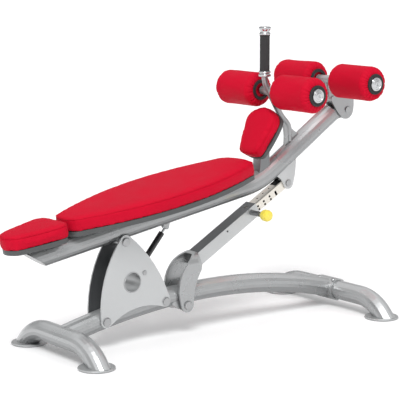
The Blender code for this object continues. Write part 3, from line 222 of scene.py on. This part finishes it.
FINISHES = {
    # Painted shade: powder_coat darkens faces turned downwards.
    "powder_coat": coated_metal("silver_powder_coat", (0.56, 0.572, 0.575), 0.66, 0.29,
                                underside_shade=0.75),
    "plate_coat": coated_metal("plate_powder_coat", (0.55, 0.562, 0.565), 0.40, 0.36),
    # Painted shade: the far plate's faces turned inwards (towards -y) are tinted dark grey.
    "shaded_plate": coated_metal("inner_plate_coat_painted_shade", (0.55, 0.562, 0.565), 0.40, 0.36,
                                 (0.0, -1.0, 0.0)),
    # Painted shade: the adjuster tube's upper faces, across its slope, are tinted dark grey.
    "shaded_tube": coated_metal("adjuster_coat_painted_shade", (0.56, 0.572, 0.575), 0.45, 0.33,
                                (-0.49, 0.0, 0.87)),
    "dark_steel": coated_metal("zinc_plated_steel", (0.22, 0.225, 0.23), 0.85, 0.30),
    "chrome": polished("bright_plated_steel", (0.60, 0.61, 0.62), 0.15),
    "bolt_steel": polished("bolt_steel", (0.46, 0.465, 0.47), 0.34),
    "stainless": brushed("brushed_stainless", (0.82, 0.78, 0.71), ADJUSTER_ANGLE,
                         CHANNEL_INNER_HALF),
    "board": moulded("charcoal_board", (0.075, 0.079, 0.080), 0.46, 900.0),
    "vinyl": vinyl("red_vinyl", (0.595, 0.0045, 0.0265)),
    "rubber": moulded("black_rubber", (0.016, 0.016, 0.017), 0.52, 1700.0),
    "grip_rubber": moulded("grip_rubber", (0.028, 0.028, 0.029), 0.60, 1400.0, 0.0004),
    "yellow_plastic": moulded("yellow_plastic", (0.90, 0.74, 0.09), 0.30, 600.0, 0.0001, 0.4, 0.05),
    "black_paint": moulded("gloss_black_paint", (0.012, 0.012, 0.013), 0.22, 400.0, 0.00006, 0.5),
}

CAD_FINISH = {
    "chrome": ("knee_axle", "foot_axle", "gas_rod", "pin_plunger"),
    "bolt_steel": ("plate_bolt_front", "plate_bolt_rear", "bench_pivot_pin", "gas_lower_pin",
                   "yoke_pivot_pin", "saddle_bolt_near", "saddle_bolt_far", "gusset_pin",
                   "foot_pivot_pin"),
    "stainless": ("adjuster_channel",),
    "board": ("torso_board", "head_board", "seat_board"),
    # channel_plug: a black block that stands in for the shade between the gussets above the channel.
    "rubber": ("foot_stop_bumper", "channel_plug"),
    "yellow_plastic": ("pin_knob",),
    "black_paint": ("gas_cylinder", "head_strap"),
    "plate_coat": ("side_plate_near", "gusset_near", "gusset_far"),
    "shaded_plate": ("side_plate_far",),
    "shaded_tube": ("adjuster_tube",),
    "dark_steel": ("pin_barrel", "seat_bracket"),
}


def finish_cad_nodes():
    """Gives every node of the frame its material."""
    chosen = {name: key for key, names in CAD_FINISH.items() for name in names}
    for name, item in NODES.items():
        item.data.materials.clear()
        item.data.materials.append(FINISHES[chosen.get(name, "powder_coat")])
        for polygon in item.data.polygons:
            polygon.material_index = 0


# --- Building tools --------------------------------------------------------------------------------
def add_piece(name, verts, faces, finish, body, sharp=35.0):
    mesh = bpy.data.meshes.new(name)
    mesh.from_pydata([tuple(v) for v in verts], [], faces)
    mesh.validate()
    work = bmesh.new()
    work.from_mesh(mesh)
    bmesh.ops.recalc_face_normals(work, faces=work.faces)
    work.to_mesh(mesh)
    work.free()
    mesh.shade_smooth()
    mesh.set_sharp_from_angle(angle=math.radians(sharp))
    mesh.materials.append(FINISHES[finish])
    item = bpy.data.objects.new(name, mesh)
    SCENE.collection.objects.link(item)
    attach(item, body)
    return item


def grid_faces(rows, columns):
    """Quads over rows of points: each row closes on itself, and the last row meets the first."""
    faces = []
    for row in range(rows):
        nxt = (row + 1) % rows
        for column in range(columns):
            right = (column + 1) % columns
            faces.append((row * columns + column, row * columns + right,
                          nxt * columns + right, nxt * columns + column))
    return faces


def turned(name, profile, origin, axis, finish, body, sides=64, shape=None):
    """A ring-shaped profile of (radius, height) points turned round the axis.

    shape(radius, height, angle) may move each point, as for flutes or a socket.
    """
    across = Vector(axis).orthogonal().normalized()
    other = Vector(axis).normalized().cross(across)
    verts = []
    for radius, height in profile:
        for step in range(sides):
            angle = math.tau * step / sides
            r, h = shape(radius, height, angle) if shape else (radius, height)
            verts.append(Vector(origin) + Vector(axis) * h
                         + (across * math.cos(angle) + other * math.sin(angle)) * r)
    return add_piece(name, verts, grid_faces(len(profile), sides), finish, body)


def rounded(profile, radius, steps=3):
    """The closed profile with every corner rounded."""
    points = []
    for index, corner in enumerate(profile):
        corner = Vector(corner)
        before, after = Vector(profile[index - 1]), Vector(profile[(index + 1) % len(profile)])
        reach = min(radius, (before - corner).length * 0.45, (after - corner).length * 0.45)
        start = corner + (before - corner).normalized() * reach
        stop = corner + (after - corner).normalized() * reach
        for step in range(steps + 1):
            part = step / steps
            points.append(tuple(start.lerp(corner, part).lerp(corner.lerp(stop, part), part)))
    return points


def bead(name, points, radius, finish, body, sides=8):
    """A closed round cord of material through points."""
    points = [Vector(p) for p in points]
    count = len(points)
    verts = []
    side = None
    for index, point in enumerate(points):
        forward = (points[(index + 1) % count] - points[index - 1]).normalized()
        if side is None:
            side = forward.orthogonal().normalized()
        else:
            side = (side - forward * side.dot(forward)).normalized()
        over = forward.cross(side)
        for step in range(sides):
            angle = math.tau * step / sides
            verts.append(point + (side * math.cos(angle) + over * math.sin(angle)) * radius)
    return add_piece(name, verts, grid_faces(count, sides), finish, body, sharp=80.0)


def spread(points, spacing):
    """The closed path's points again, evenly spaced."""
    points = [Vector(p) for p in points]
    loop = points + [points[0]]
    lengths = [(b - a).length for a, b in zip(loop, loop[1:])]
    total = sum(lengths)
    count = max(12, int(total / spacing))
    result, segment, passed = [], 0, 0.0
    for index in range(count):
        target = total * index / count
        while passed + lengths[segment] < target:
            passed += lengths[segment]
            segment += 1
        part = (target - passed) / lengths[segment]
        result.append(loop[segment].lerp(loop[segment + 1], part))
    return result


# --- Cushions --------------------------------------------------------------------------------------
class Slope:
    """A pad's own frame: s up the slope, y across, t off its board."""

    def __init__(self, angle):
        a = math.radians(angle)
        self.turn = np.array([[math.cos(a), 0.0, math.sin(a)], [0.0, 1.0, 0.0],
                              [-math.sin(a), 0.0, math.cos(a)]])

    def inward(self, points):
        return np.asarray(points, float) @ self.turn.T

    def outward(self, points):
        return np.asarray(points, float) @ self.turn


def hull(points):
    """Convex outline of 2-D points, counterclockwise."""
    points = sorted(set((round(float(x), 6), round(float(y), 6)) for x, y in points))

    def half(sequence):
        chain = []
        for p in sequence:
            while len(chain) > 1 and ((chain[-1][0] - chain[-2][0]) * (p[1] - chain[-2][1])
                                      - (chain[-1][1] - chain[-2][1]) * (p[0] - chain[-2][0])) <= 0:
                chain.pop()
            chain.append(p)
        return chain[:-1]

    return np.array(half(points) + half(points[::-1]))


def shrunk(outline, inset):
    """The outline moved inwards by the inset."""
    before, after = np.roll(outline, 1, 0), np.roll(outline, -1, 0)
    tangent = after - before
    tangent /= np.linalg.norm(tangent, axis=1)[:, None]
    return outline + np.stack([-tangent[:, 1], tangent[:, 0]], 1) * inset


def softened(outline, spacing=0.004, reach=3):
    """The outline evenly spaced, with its corners eased."""
    points = np.array([(p.x, p.y) for p in spread([(x, y, 0.0) for x, y in outline], spacing)])
    for _ in range(reach):
        points = (np.roll(points, 1, 0) + 2.0 * points + np.roll(points, -1, 0)) / 4.0
    return points


def relaxed(mesh, points, passes, share=0.5):
    """The points after a few passes towards their neighbours' mean."""
    edges = np.empty(len(mesh.edges) * 2, int)
    mesh.edges.foreach_get("vertices", edges)
    edges = edges.reshape(-1, 2)
    degree = np.bincount(edges.ravel(), minlength=len(points))[:, None]
    for _ in range(passes):
        total = np.zeros_like(points)
        np.add.at(total, edges[:, 0], points[edges[:, 1]])
        np.add.at(total, edges[:, 1], points[edges[:, 0]])
        points = points + share * (total / degree - points)
    return points


def edge_distance(points, outline):
    """Distance of each point from the closed outline, in two or three dimensions."""
    best = np.full(len(points), 1e9)
    for a, b in zip(outline, np.roll(outline, -1, 0)):
        along = b - a
        part = np.clip(((points - a) @ along) / max(along @ along, 1e-12), 0.0, 1.0)
        best = np.minimum(best, np.linalg.norm(points - a - part[:, None] * along, axis=1))
    return best


def evaluated_copy(item):
    graph = bpy.context.evaluated_depsgraph_get()
    graph.update()
    return bpy.data.meshes.new_from_object(item.evaluated_get(graph))


def mesh_points(mesh):
    flat = np.empty(len(mesh.vertices) * 3)
    mesh.vertices.foreach_get("co", flat)
    return flat.reshape(-1, 3)


def set_points(mesh, points):
    mesh.vertices.foreach_set("co", np.ascontiguousarray(points, float).ravel())
    mesh.update()


def inflate(item, cap, frames=20):
    """Swells a shell by cloth pressure without gravity; no point moves further than the cap."""
    rest = mesh_points(item.data)
    cloth = item.modifiers.new("cloth", "CLOTH")
    settings = cloth.settings
    settings.quality = 5
    settings.mass = 0.3
    settings.tension_stiffness = settings.compression_stiffness = 25.0
    settings.bending_stiffness = 3.0
    settings.use_pressure = True
    settings.uniform_pressure_force = 4.0
    settings.effector_weights.gravity = 0.0
    cloth.point_cache.frame_start, cloth.point_cache.frame_end = 1, frames
    for number in range(1, frames + 1):
        SCENE.frame_set(number)
    swollen = evaluated_copy(item)
    move = mesh_points(swollen) - rest
    item.modifiers.remove(cloth)
    bpy.data.meshes.remove(swollen)
    SCENE.frame_set(1)
    length = np.linalg.norm(move, axis=1)
    return rest + move * np.minimum(1.0, cap / np.maximum(length, 1e-9))[:, None]


def made_by(item, kind, **settings):
    """Gives the item the mesh that a modifier makes of it, and returns that mesh."""
    modifier = item.modifiers.new(kind.lower(), kind)
    for key, value in settings.items():
        setattr(modifier, key, value)
    mesh = evaluated_copy(item)
    item.modifiers.remove(modifier)
    item.data = mesh
    return mesh


CUSHION_INSET = 0.0010         # the shell starts this far inside the CAD pad's outline
CROWN_REACH = 0.055            # distance from the edge over which the crown rises
CLOTH_CAP = 0.0045             # furthest that the cloth may move a point
SEAM_SPACING = 0.006
SEAM_RADIUS = 0.0013
SEAM_LIFT = 0.001              # the seam is sought this far over the shell's straight edge
GROOVE_DEPTH = 0.0016          # the cover dips to the seam
GROOVE_WIDTH = 0.0035


def cushion_shell(name, slope, outline, bottom, top, body):
    """A straight-sided shell over the outline, from bottom to top in the pad's own frame."""
    count = len(outline)
    verts = [(x, y, bottom) for x, y in outline] + [(x, y, top) for x, y in outline]
    faces = [tuple(reversed(range(count))), tuple(range(count, 2 * count))]
    faces += [(i, (i + 1) % count, (i + 1) % count + count, i + count) for i in range(count)]
    return add_piece(name, slope.outward(verts), faces, "vinyl", body)


def seam_over(points, mesh, outline, height):
    """The cushion's own surface along its outline, near the height given."""
    tree = BVHTree.FromPolygons([Vector(p) for p in points],
                                [tuple(f.vertices) for f in mesh.polygons])
    line = spread([(x, y, 0.0) for x, y in outline], SEAM_SPACING)
    return np.array([tuple(tree.find_nearest(Vector((p.x, p.y, height)))[0]) for p in line])


def grooved(points, seam, middle):
    """The points drawn in towards the middle along the seam."""
    near = edge_distance(points, seam)
    pull = middle - points
    pull[:, :2] *= 0.25
    pull /= np.maximum(np.linalg.norm(pull, axis=1), 1e-9)[:, None]
    return points + pull * (GROOVE_DEPTH * np.exp(-(near / GROOVE_WIDTH) ** 2))[:, None]


def make_cushion(name, node, angle, edge_height, crown, voxel, body="bench"):
    """A crowned, seamed cushion in the space of a CAD pad, swollen by a short cloth simulation."""
    slope = Slope(angle)
    local = slope.inward(mesh_points(NODES[node].data))
    bottom = local[:, 2].min()
    outline = shrunk(softened(hull(local[:, :2]), reach=6), CUSHION_INSET)
    item = cushion_shell(name, slope, outline, bottom, bottom + edge_height, body)

    mesh = made_by(item, "REMESH", mode="VOXEL", voxel_size=voxel)
    points = slope.inward(mesh_points(mesh))
    rise = crown * (1.0 - np.exp(-edge_distance(points[:, :2], outline) / CROWN_REACH))
    points[:, 2] += rise * np.clip((points[:, 2] - bottom) / edge_height, 0.0, 1.0) ** 2
    points = relaxed(mesh, points, 2)
    set_points(mesh, slope.outward(points))
    points = relaxed(mesh, slope.inward(inflate(item, CLOTH_CAP)), 3)
    points[:, 2] = np.maximum(points[:, 2], bottom)
    points[:, 2] = np.where(points[:, 2] < bottom + 0.5 * voxel, bottom, points[:, 2])
    set_points(mesh, slope.outward(points))

    mesh = made_by(item, "SUBSURF", levels=1, render_levels=1)
    points = slope.inward(mesh_points(mesh))
    seam = seam_over(points, mesh, outline, bottom + edge_height + SEAM_LIFT)
    middle = np.array([*outline.mean(0), bottom + edge_height * 0.5])
    set_points(mesh, slope.outward(grooved(points, seam, middle)))
    mesh.shade_smooth()
    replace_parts(item, node)
    bead(name + "_seam", slope.outward(seam), SEAM_RADIUS, "vinyl", body)


# --- Roller covers ---------------------------------------------------------------------------------
FIRST_SEED = 11
ROLLER_RADIUS = 0.0665
ROLLER_END_RADIUS = 0.040
ROLLER_BORE = 0.0135
RING_INNER = 0.0272


def roller_profile(half, arc_steps=12, body_steps=18):
    """(radius, height, distance from the nearer end ring) down the outside of a cover."""
    shoulder = ROLLER_RADIUS - ROLLER_END_RADIUS
    upper = []
    for step in range(arc_steps + 1):
        angle = math.radians(90.0 - 90.0 * step / arc_steps)
        upper.append((ROLLER_END_RADIUS + shoulder * math.cos(angle),
                      half - shoulder + shoulder * math.sin(angle),
                      shoulder * math.radians(90.0 * step / arc_steps)))
    edge = upper[-1]
    reach = edge[1]
    middle = []
    for step in range(1, body_steps):
        height = reach * (1.0 - 2.0 * step / body_steps)
        middle.append((edge[0], height, edge[2] + reach - abs(height)))
    lower = [(radius, -height, run) for radius, height, run in reversed(upper)]
    return upper + middle + lower


FOLD_SPAN = (27, 32)           # folds at each end
FOLD_JITTER = 0.28             # of the space between folds
FOLD_DEPTH = (0.0024, 0.0052)
FOLD_WIDTH = (0.045, 0.075)    # radians
FOLD_LENGTH = (0.026, 0.060)
COVER_SIDES = 168


def draw_folds(rng):
    """Angles, depths, widths and lengths of the folds at one end of a cover."""
    count = int(rng.integers(*FOLD_SPAN))
    spots = (np.arange(count) + rng.uniform(-FOLD_JITTER, FOLD_JITTER, count)) * math.tau / count
    return (spots, rng.uniform(*FOLD_DEPTH, count), rng.uniform(*FOLD_WIDTH, count),
            rng.uniform(*FOLD_LENGTH, count))


def fold_depth(angles, run, folds):
    """How far the folds draw the cover in, at each angle, a distance from the end ring."""
    spots, depths, widths, lengths = folds
    gap = np.abs((angles[:, None] - spots + math.pi) % math.tau - math.pi)
    fade = np.clip(1.0 - run / lengths, 0.0, 1.0)
    fade = fade * fade * (3.0 - 2.0 * fade)
    return (np.exp(-(gap / widths) ** 2) * depths * fade).sum(1)


def make_roller_cover(name, body, seed):
    """A gathered cover: folds run from the elastic at each end and die out on the barrel."""
    low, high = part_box(name)
    centre = (low + high) / 2
    half = (high.y - low.y) / 2
    rng = np.random.default_rng(seed)
    profile = roller_profile(half)
    angles = np.arange(COVER_SIDES) * math.tau / COVER_SIDES
    folds = {end: draw_folds(rng) for end in (1, -1)}
    slack = rng.uniform(0.0, math.tau, 6)
    shoulder_arc = (ROLLER_RADIUS - ROLLER_END_RADIUS) * (math.pi / 2)
    verts = []
    for radius, height, run in profile:
        fold = fold_depth(angles, run, folds[1 if height > 0 else -1])
        puff = 0.0007 * math.exp(-((run - 0.03) / 0.018) ** 2)
        ripple = 0.0004 * (np.sin(3 * angles + slack[0] + 18 * height)
                           + np.sin(5 * angles + slack[1] - 31 * height)
                           + 0.6 * np.sin(9 * angles + slack[2] + 47 * height))
        r = radius - fold + puff + ripple * min(1.0, run / 0.02)
        tilt = math.radians(min(90.0, 90.0 * run / shoulder_arc))
        h = height - math.copysign(1.0, height) * fold * math.cos(tilt) * 0.8
        verts += [(centre.x + r[k] * math.cos(angle), centre.y + h[k],
                   centre.z + r[k] * math.sin(angle)) for k, angle in enumerate(angles)]
    for radius, height in ((0.033, -half + 0.004), (ROLLER_BORE, -half + 0.005),
                           (ROLLER_BORE, half - 0.005), (0.033, half - 0.004)):
        verts += [(centre.x + radius * math.cos(angle), centre.y + height,
                   centre.z + radius * math.sin(angle)) for angle in angles]
    cover = add_piece(name + "_cover", verts, grid_faces(len(profile) + 4, COVER_SIDES), "vinyl",
                      body, sharp=70.0)
    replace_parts(cover, name)
    ring = rounded([(0.0392, 0.0042), (0.0402, 0.0), (0.0392, -0.005), (RING_INNER, -0.005),
                    (RING_INNER, 0.0035), (0.0300, 0.0042), (0.0312, 0.0026),
                    (0.0345, 0.0026), (0.0356, 0.0042)], 0.0009)
    for label, sign in (("near", -1.0), ("far", 1.0)):
        turned(f"{name}_ring_{label}", ring, centre + Vector((0.0, sign * half, 0.0)),
               (0.0, sign, 0.0), "rubber", body)


AXLE_END = [(0.0262, -0.0062), (0.0264, -0.0012), (0.0252, 0.0006), (0.0205, 0.0010),
            (0.0198, 0.0003), (0.0190, 0.0010), (0.0125, 0.0016), (0.0118, 0.0030),
            (0.0085, 0.0034), (0.0062, 0.0034), (0.0056, 0.0026), (0.0052, 0.0003),
            (0.0004, 0.0001), (0.0004, -0.0062)]
SOCKET_FLAT = 0.0049           # middle of the hexagon socket to a flat


def socket_shape(radius, height, angle):
    """Turns the innermost steps of an axle end into a hexagon."""
    if 0.003 < radius < 0.006:
        sector = (angle % (math.pi / 3)) - math.pi / 6
        radius = SOCKET_FLAT / math.cos(sector)
    return radius, height


def make_axle_ends(name, body):
    """Turned end discs with a stepped face and a hexagon socket."""
    low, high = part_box(name)
    centre = (low + high) / 2
    for label, sign, face in (("near", -1.0, low.y), ("far", 1.0, high.y)):
        turned(f"{name}_end_{label}", AXLE_END, Vector((centre.x, face, centre.z)),
               (0.0, sign, 0.0), "chrome", body, sides=72, shape=socket_shape)


# --- Handle ----------------------------------------------------------------------------------------
GRIP_CORE = 0.0124
GRIP_RADIUS = 0.0183
GRIP_RIB = 0.0006
GRIP_ROWS = 44
GRIP_FLUTES = 36
UPRIGHT = (0.0, 0.0, 1.0)
COLLAR_STEPS = ((GRIP_CORE, 0.0), (0.0205, 0.0), (0.0240, 0.12), (0.0243, 0.40), (0.0228, 0.50),
                (0.0200, 0.56), (0.0200, 0.66), (0.0232, 0.74), (0.0236, 0.90), (0.0222, 1.0),
                (GRIP_CORE, 1.0))
CAP_STEPS = ((0.0003, 0.0), (0.0205, 0.0), (0.0218, 0.05), (0.0218, 0.16), (0.0190, 0.26),
             (0.0176, 0.36), (0.0180, 0.50), (0.0222, 0.66), (0.0232, 0.74), (0.0232, 0.88),
             (0.0220, 0.96), (0.0180, 1.0), (0.0003, 1.0))


def fluted(radius, height, angle):
    """Fine flutes down the grip's barrel, none on its flanges."""
    if 0.0180 < radius < 0.0192:
        radius += 0.00035 * math.cos(GRIP_FLUTES * angle)
    return radius, height


def make_grip_sleeve(x):
    """The rubber grip: a ribbed barrel between two small flanges."""
    low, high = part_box("handle_grip")
    bottom, top = low.z, high.z
    profile = [(GRIP_CORE, bottom), (0.0188, bottom), (0.0198, bottom + 0.001),
               (0.0198, bottom + 0.0035), (GRIP_RADIUS, bottom + 0.005)]
    for row in range(GRIP_ROWS + 1):
        z = bottom + 0.006 + (top - bottom - 0.012) * row / GRIP_ROWS
        profile.append((GRIP_RADIUS + (GRIP_RIB if row % 2 else 0.0), z))
    profile += [(GRIP_RADIUS, top - 0.005), (0.0198, top - 0.0035), (0.0198, top - 0.001),
                (0.0188, top), (GRIP_CORE, top)]
    grip = turned("handle_grip_sleeve", profile, (x, 0.0, 0.0), UPRIGHT, "grip_rubber", "bench",
                  sides=144, shape=fluted)
    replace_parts(grip, "handle_grip")


def make_handle_turning(name, node, steps, corner, x):
    """A chromed turning: steps are (radius, share of the node's height)."""
    low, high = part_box(node)
    height = high.z - low.z
    profile = rounded([(radius, low.z + height * share) for radius, share in steps], corner)
    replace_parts(turned(name, profile, (x, 0.0, 0.0), UPRIGHT, "chrome", "bench"), node)


def make_handle_pieces():
    """The ribbed grip with its flanges, the stepped collar and the flared cap."""
    low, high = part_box("handle_grip")
    x = (low.x + high.x) / 2
    make_grip_sleeve(x)
    make_handle_turning("handle_collar_turned", "handle_collar", COLLAR_STEPS, 0.0009, x)
    make_handle_turning("handle_cap_turned", "handle_cap", CAP_STEPS, 0.0011, x)


# --- Light, floor and camera ------------------------------------------------------------------------
FLOOR_HALF = 120.0
SKY_STRENGTH = 0.68
SKY_STEPS = ((0.0, 1.0), (0.10, 0.95), (0.24, 0.42), (0.42, 0.45), (0.62, 1.15), (1.0, 1.25))


def make_world():
    """Grey by height, dark low down and bright above; the camera itself sees plain white."""
    world = bpy.data.worlds.new("studio")
    SCENE.world = world
    world.use_nodes = True
    tree = world.node_tree
    out = tree.nodes["World Output"]
    light = tree.nodes["Background"]
    coord = tree.nodes.new("ShaderNodeTexCoord")
    parts = tree.nodes.new("ShaderNodeSeparateXYZ")
    ramp = tree.nodes.new("ShaderNodeValToRGB")
    while len(ramp.color_ramp.elements) < len(SKY_STEPS):
        ramp.color_ramp.elements.new(0.5)
    for element, (position, grey) in zip(ramp.color_ramp.elements, SKY_STEPS):
        element.position = position
        element.color = (grey, grey, grey * 1.01, 1.0)
    tree.links.new(coord.outputs["Generated"], parts.inputs[0])
    tree.links.new(parts.outputs["Z"], ramp.inputs[0])
    tree.links.new(ramp.outputs[0], light.inputs["Color"])
    light.inputs["Strength"].default_value = SKY_STRENGTH
    plain = tree.nodes.new("ShaderNodeBackground")
    plain.inputs["Color"].default_value = (1.0, 1.0, 1.0, 1.0)
    seen = tree.nodes.new("ShaderNodeLightPath")
    mix = tree.nodes.new("ShaderNodeMixShader")
    tree.links.new(seen.outputs["Is Camera Ray"], mix.inputs[0])
    tree.links.new(light.outputs[0], mix.inputs[1])
    tree.links.new(plain.outputs[0], mix.inputs[2])
    tree.links.new(mix.outputs[0], out.inputs["Surface"])


def make_floor():
    """A pale floor that reaches past the horizon the camera sees."""
    mesh = bpy.data.meshes.new("floor")
    corners = [(x * FLOOR_HALF, y * FLOOR_HALF, 0.0) for x, y in ((-1, -1), (1, -1), (1, 1), (-1, 1))]
    mesh.from_pydata(corners, [], [(0, 1, 2, 3)])
    s = Shader("pale_floor", Roughness=0.9, Specular_IOR_Level=0.1, Emission_Strength=0.10)
    s.shader.inputs["Emission Color"].default_value = (1.0, 1.0, 1.0, 1.0)
    tone = s.noise(3.0, 3.0)
    s.feed(Base_Color=s.blend(s.span(tone, 0.0, 1.0), (0.90, 0.90, 0.90), (0.93, 0.93, 0.93)))
    mesh.materials.append(s.material)
    floor = bpy.data.objects.new("floor", mesh)
    SCENE.collection.objects.link(floor)


def make_sun(name, direction, strength, angle):
    """A broad sun that shines from the direction given."""
    lamp = bpy.data.lights.new(name, "SUN")
    lamp.energy = strength
    lamp.angle = math.radians(angle)
    item = bpy.data.objects.new(name, lamp)
    SCENE.collection.objects.link(item)
    away = Vector(direction)
    item.location = away
    item.rotation_euler = away.to_track_quat("Z", "Y").to_euler()


def make_camera():
    a, e = math.radians(VIEW_AZIMUTH), math.radians(VIEW_ELEVATION)
    back = Vector((math.sin(a) * math.cos(e), -math.cos(a) * math.cos(e), math.sin(e)))
    lens = bpy.data.cameras.new("camera")
    lens.lens = VIEW_LENS
    lens.sensor_width = VIEW_SENSOR
    lens.clip_end = 400.0
    camera = bpy.data.objects.new("camera", lens)
    SCENE.collection.objects.link(camera)
    camera.location = VIEW_TARGET + back * VIEW_DISTANCE
    camera.rotation_euler = back.to_track_quat("Z", "Y").to_euler()
    SCENE.camera = camera


def main():
    SCENE.view_settings.view_transform = "Standard"
    finish_cad_nodes()
    make_cushion("torso_cushion", "torso_pad", BENCH_ANGLE, 0.0465, 0.0060, 0.0060)
    make_cushion("head_cushion", "head_pad", BENCH_ANGLE, 0.0450, 0.0065, 0.0045)
    make_cushion("seat_cushion", "seat_pad", SEAT_ANGLE, 0.0360, 0.0060, 0.0045)
    rollers = ("knee_roller_near", "knee_roller_far", "foot_roller_near", "foot_roller_far")
    for seed, label in enumerate(rollers, start=FIRST_SEED):
        make_roller_cover(label, label + "_body", seed)
    make_axle_ends("knee_axle", "bench")
    make_axle_ends("foot_axle", "foot_frame")
    make_handle_pieces()
    make_world()
    make_floor()
    make_sun("key", (-2.2, -2.6, 4.2), 2.0, 28.0)
    make_camera()


main()
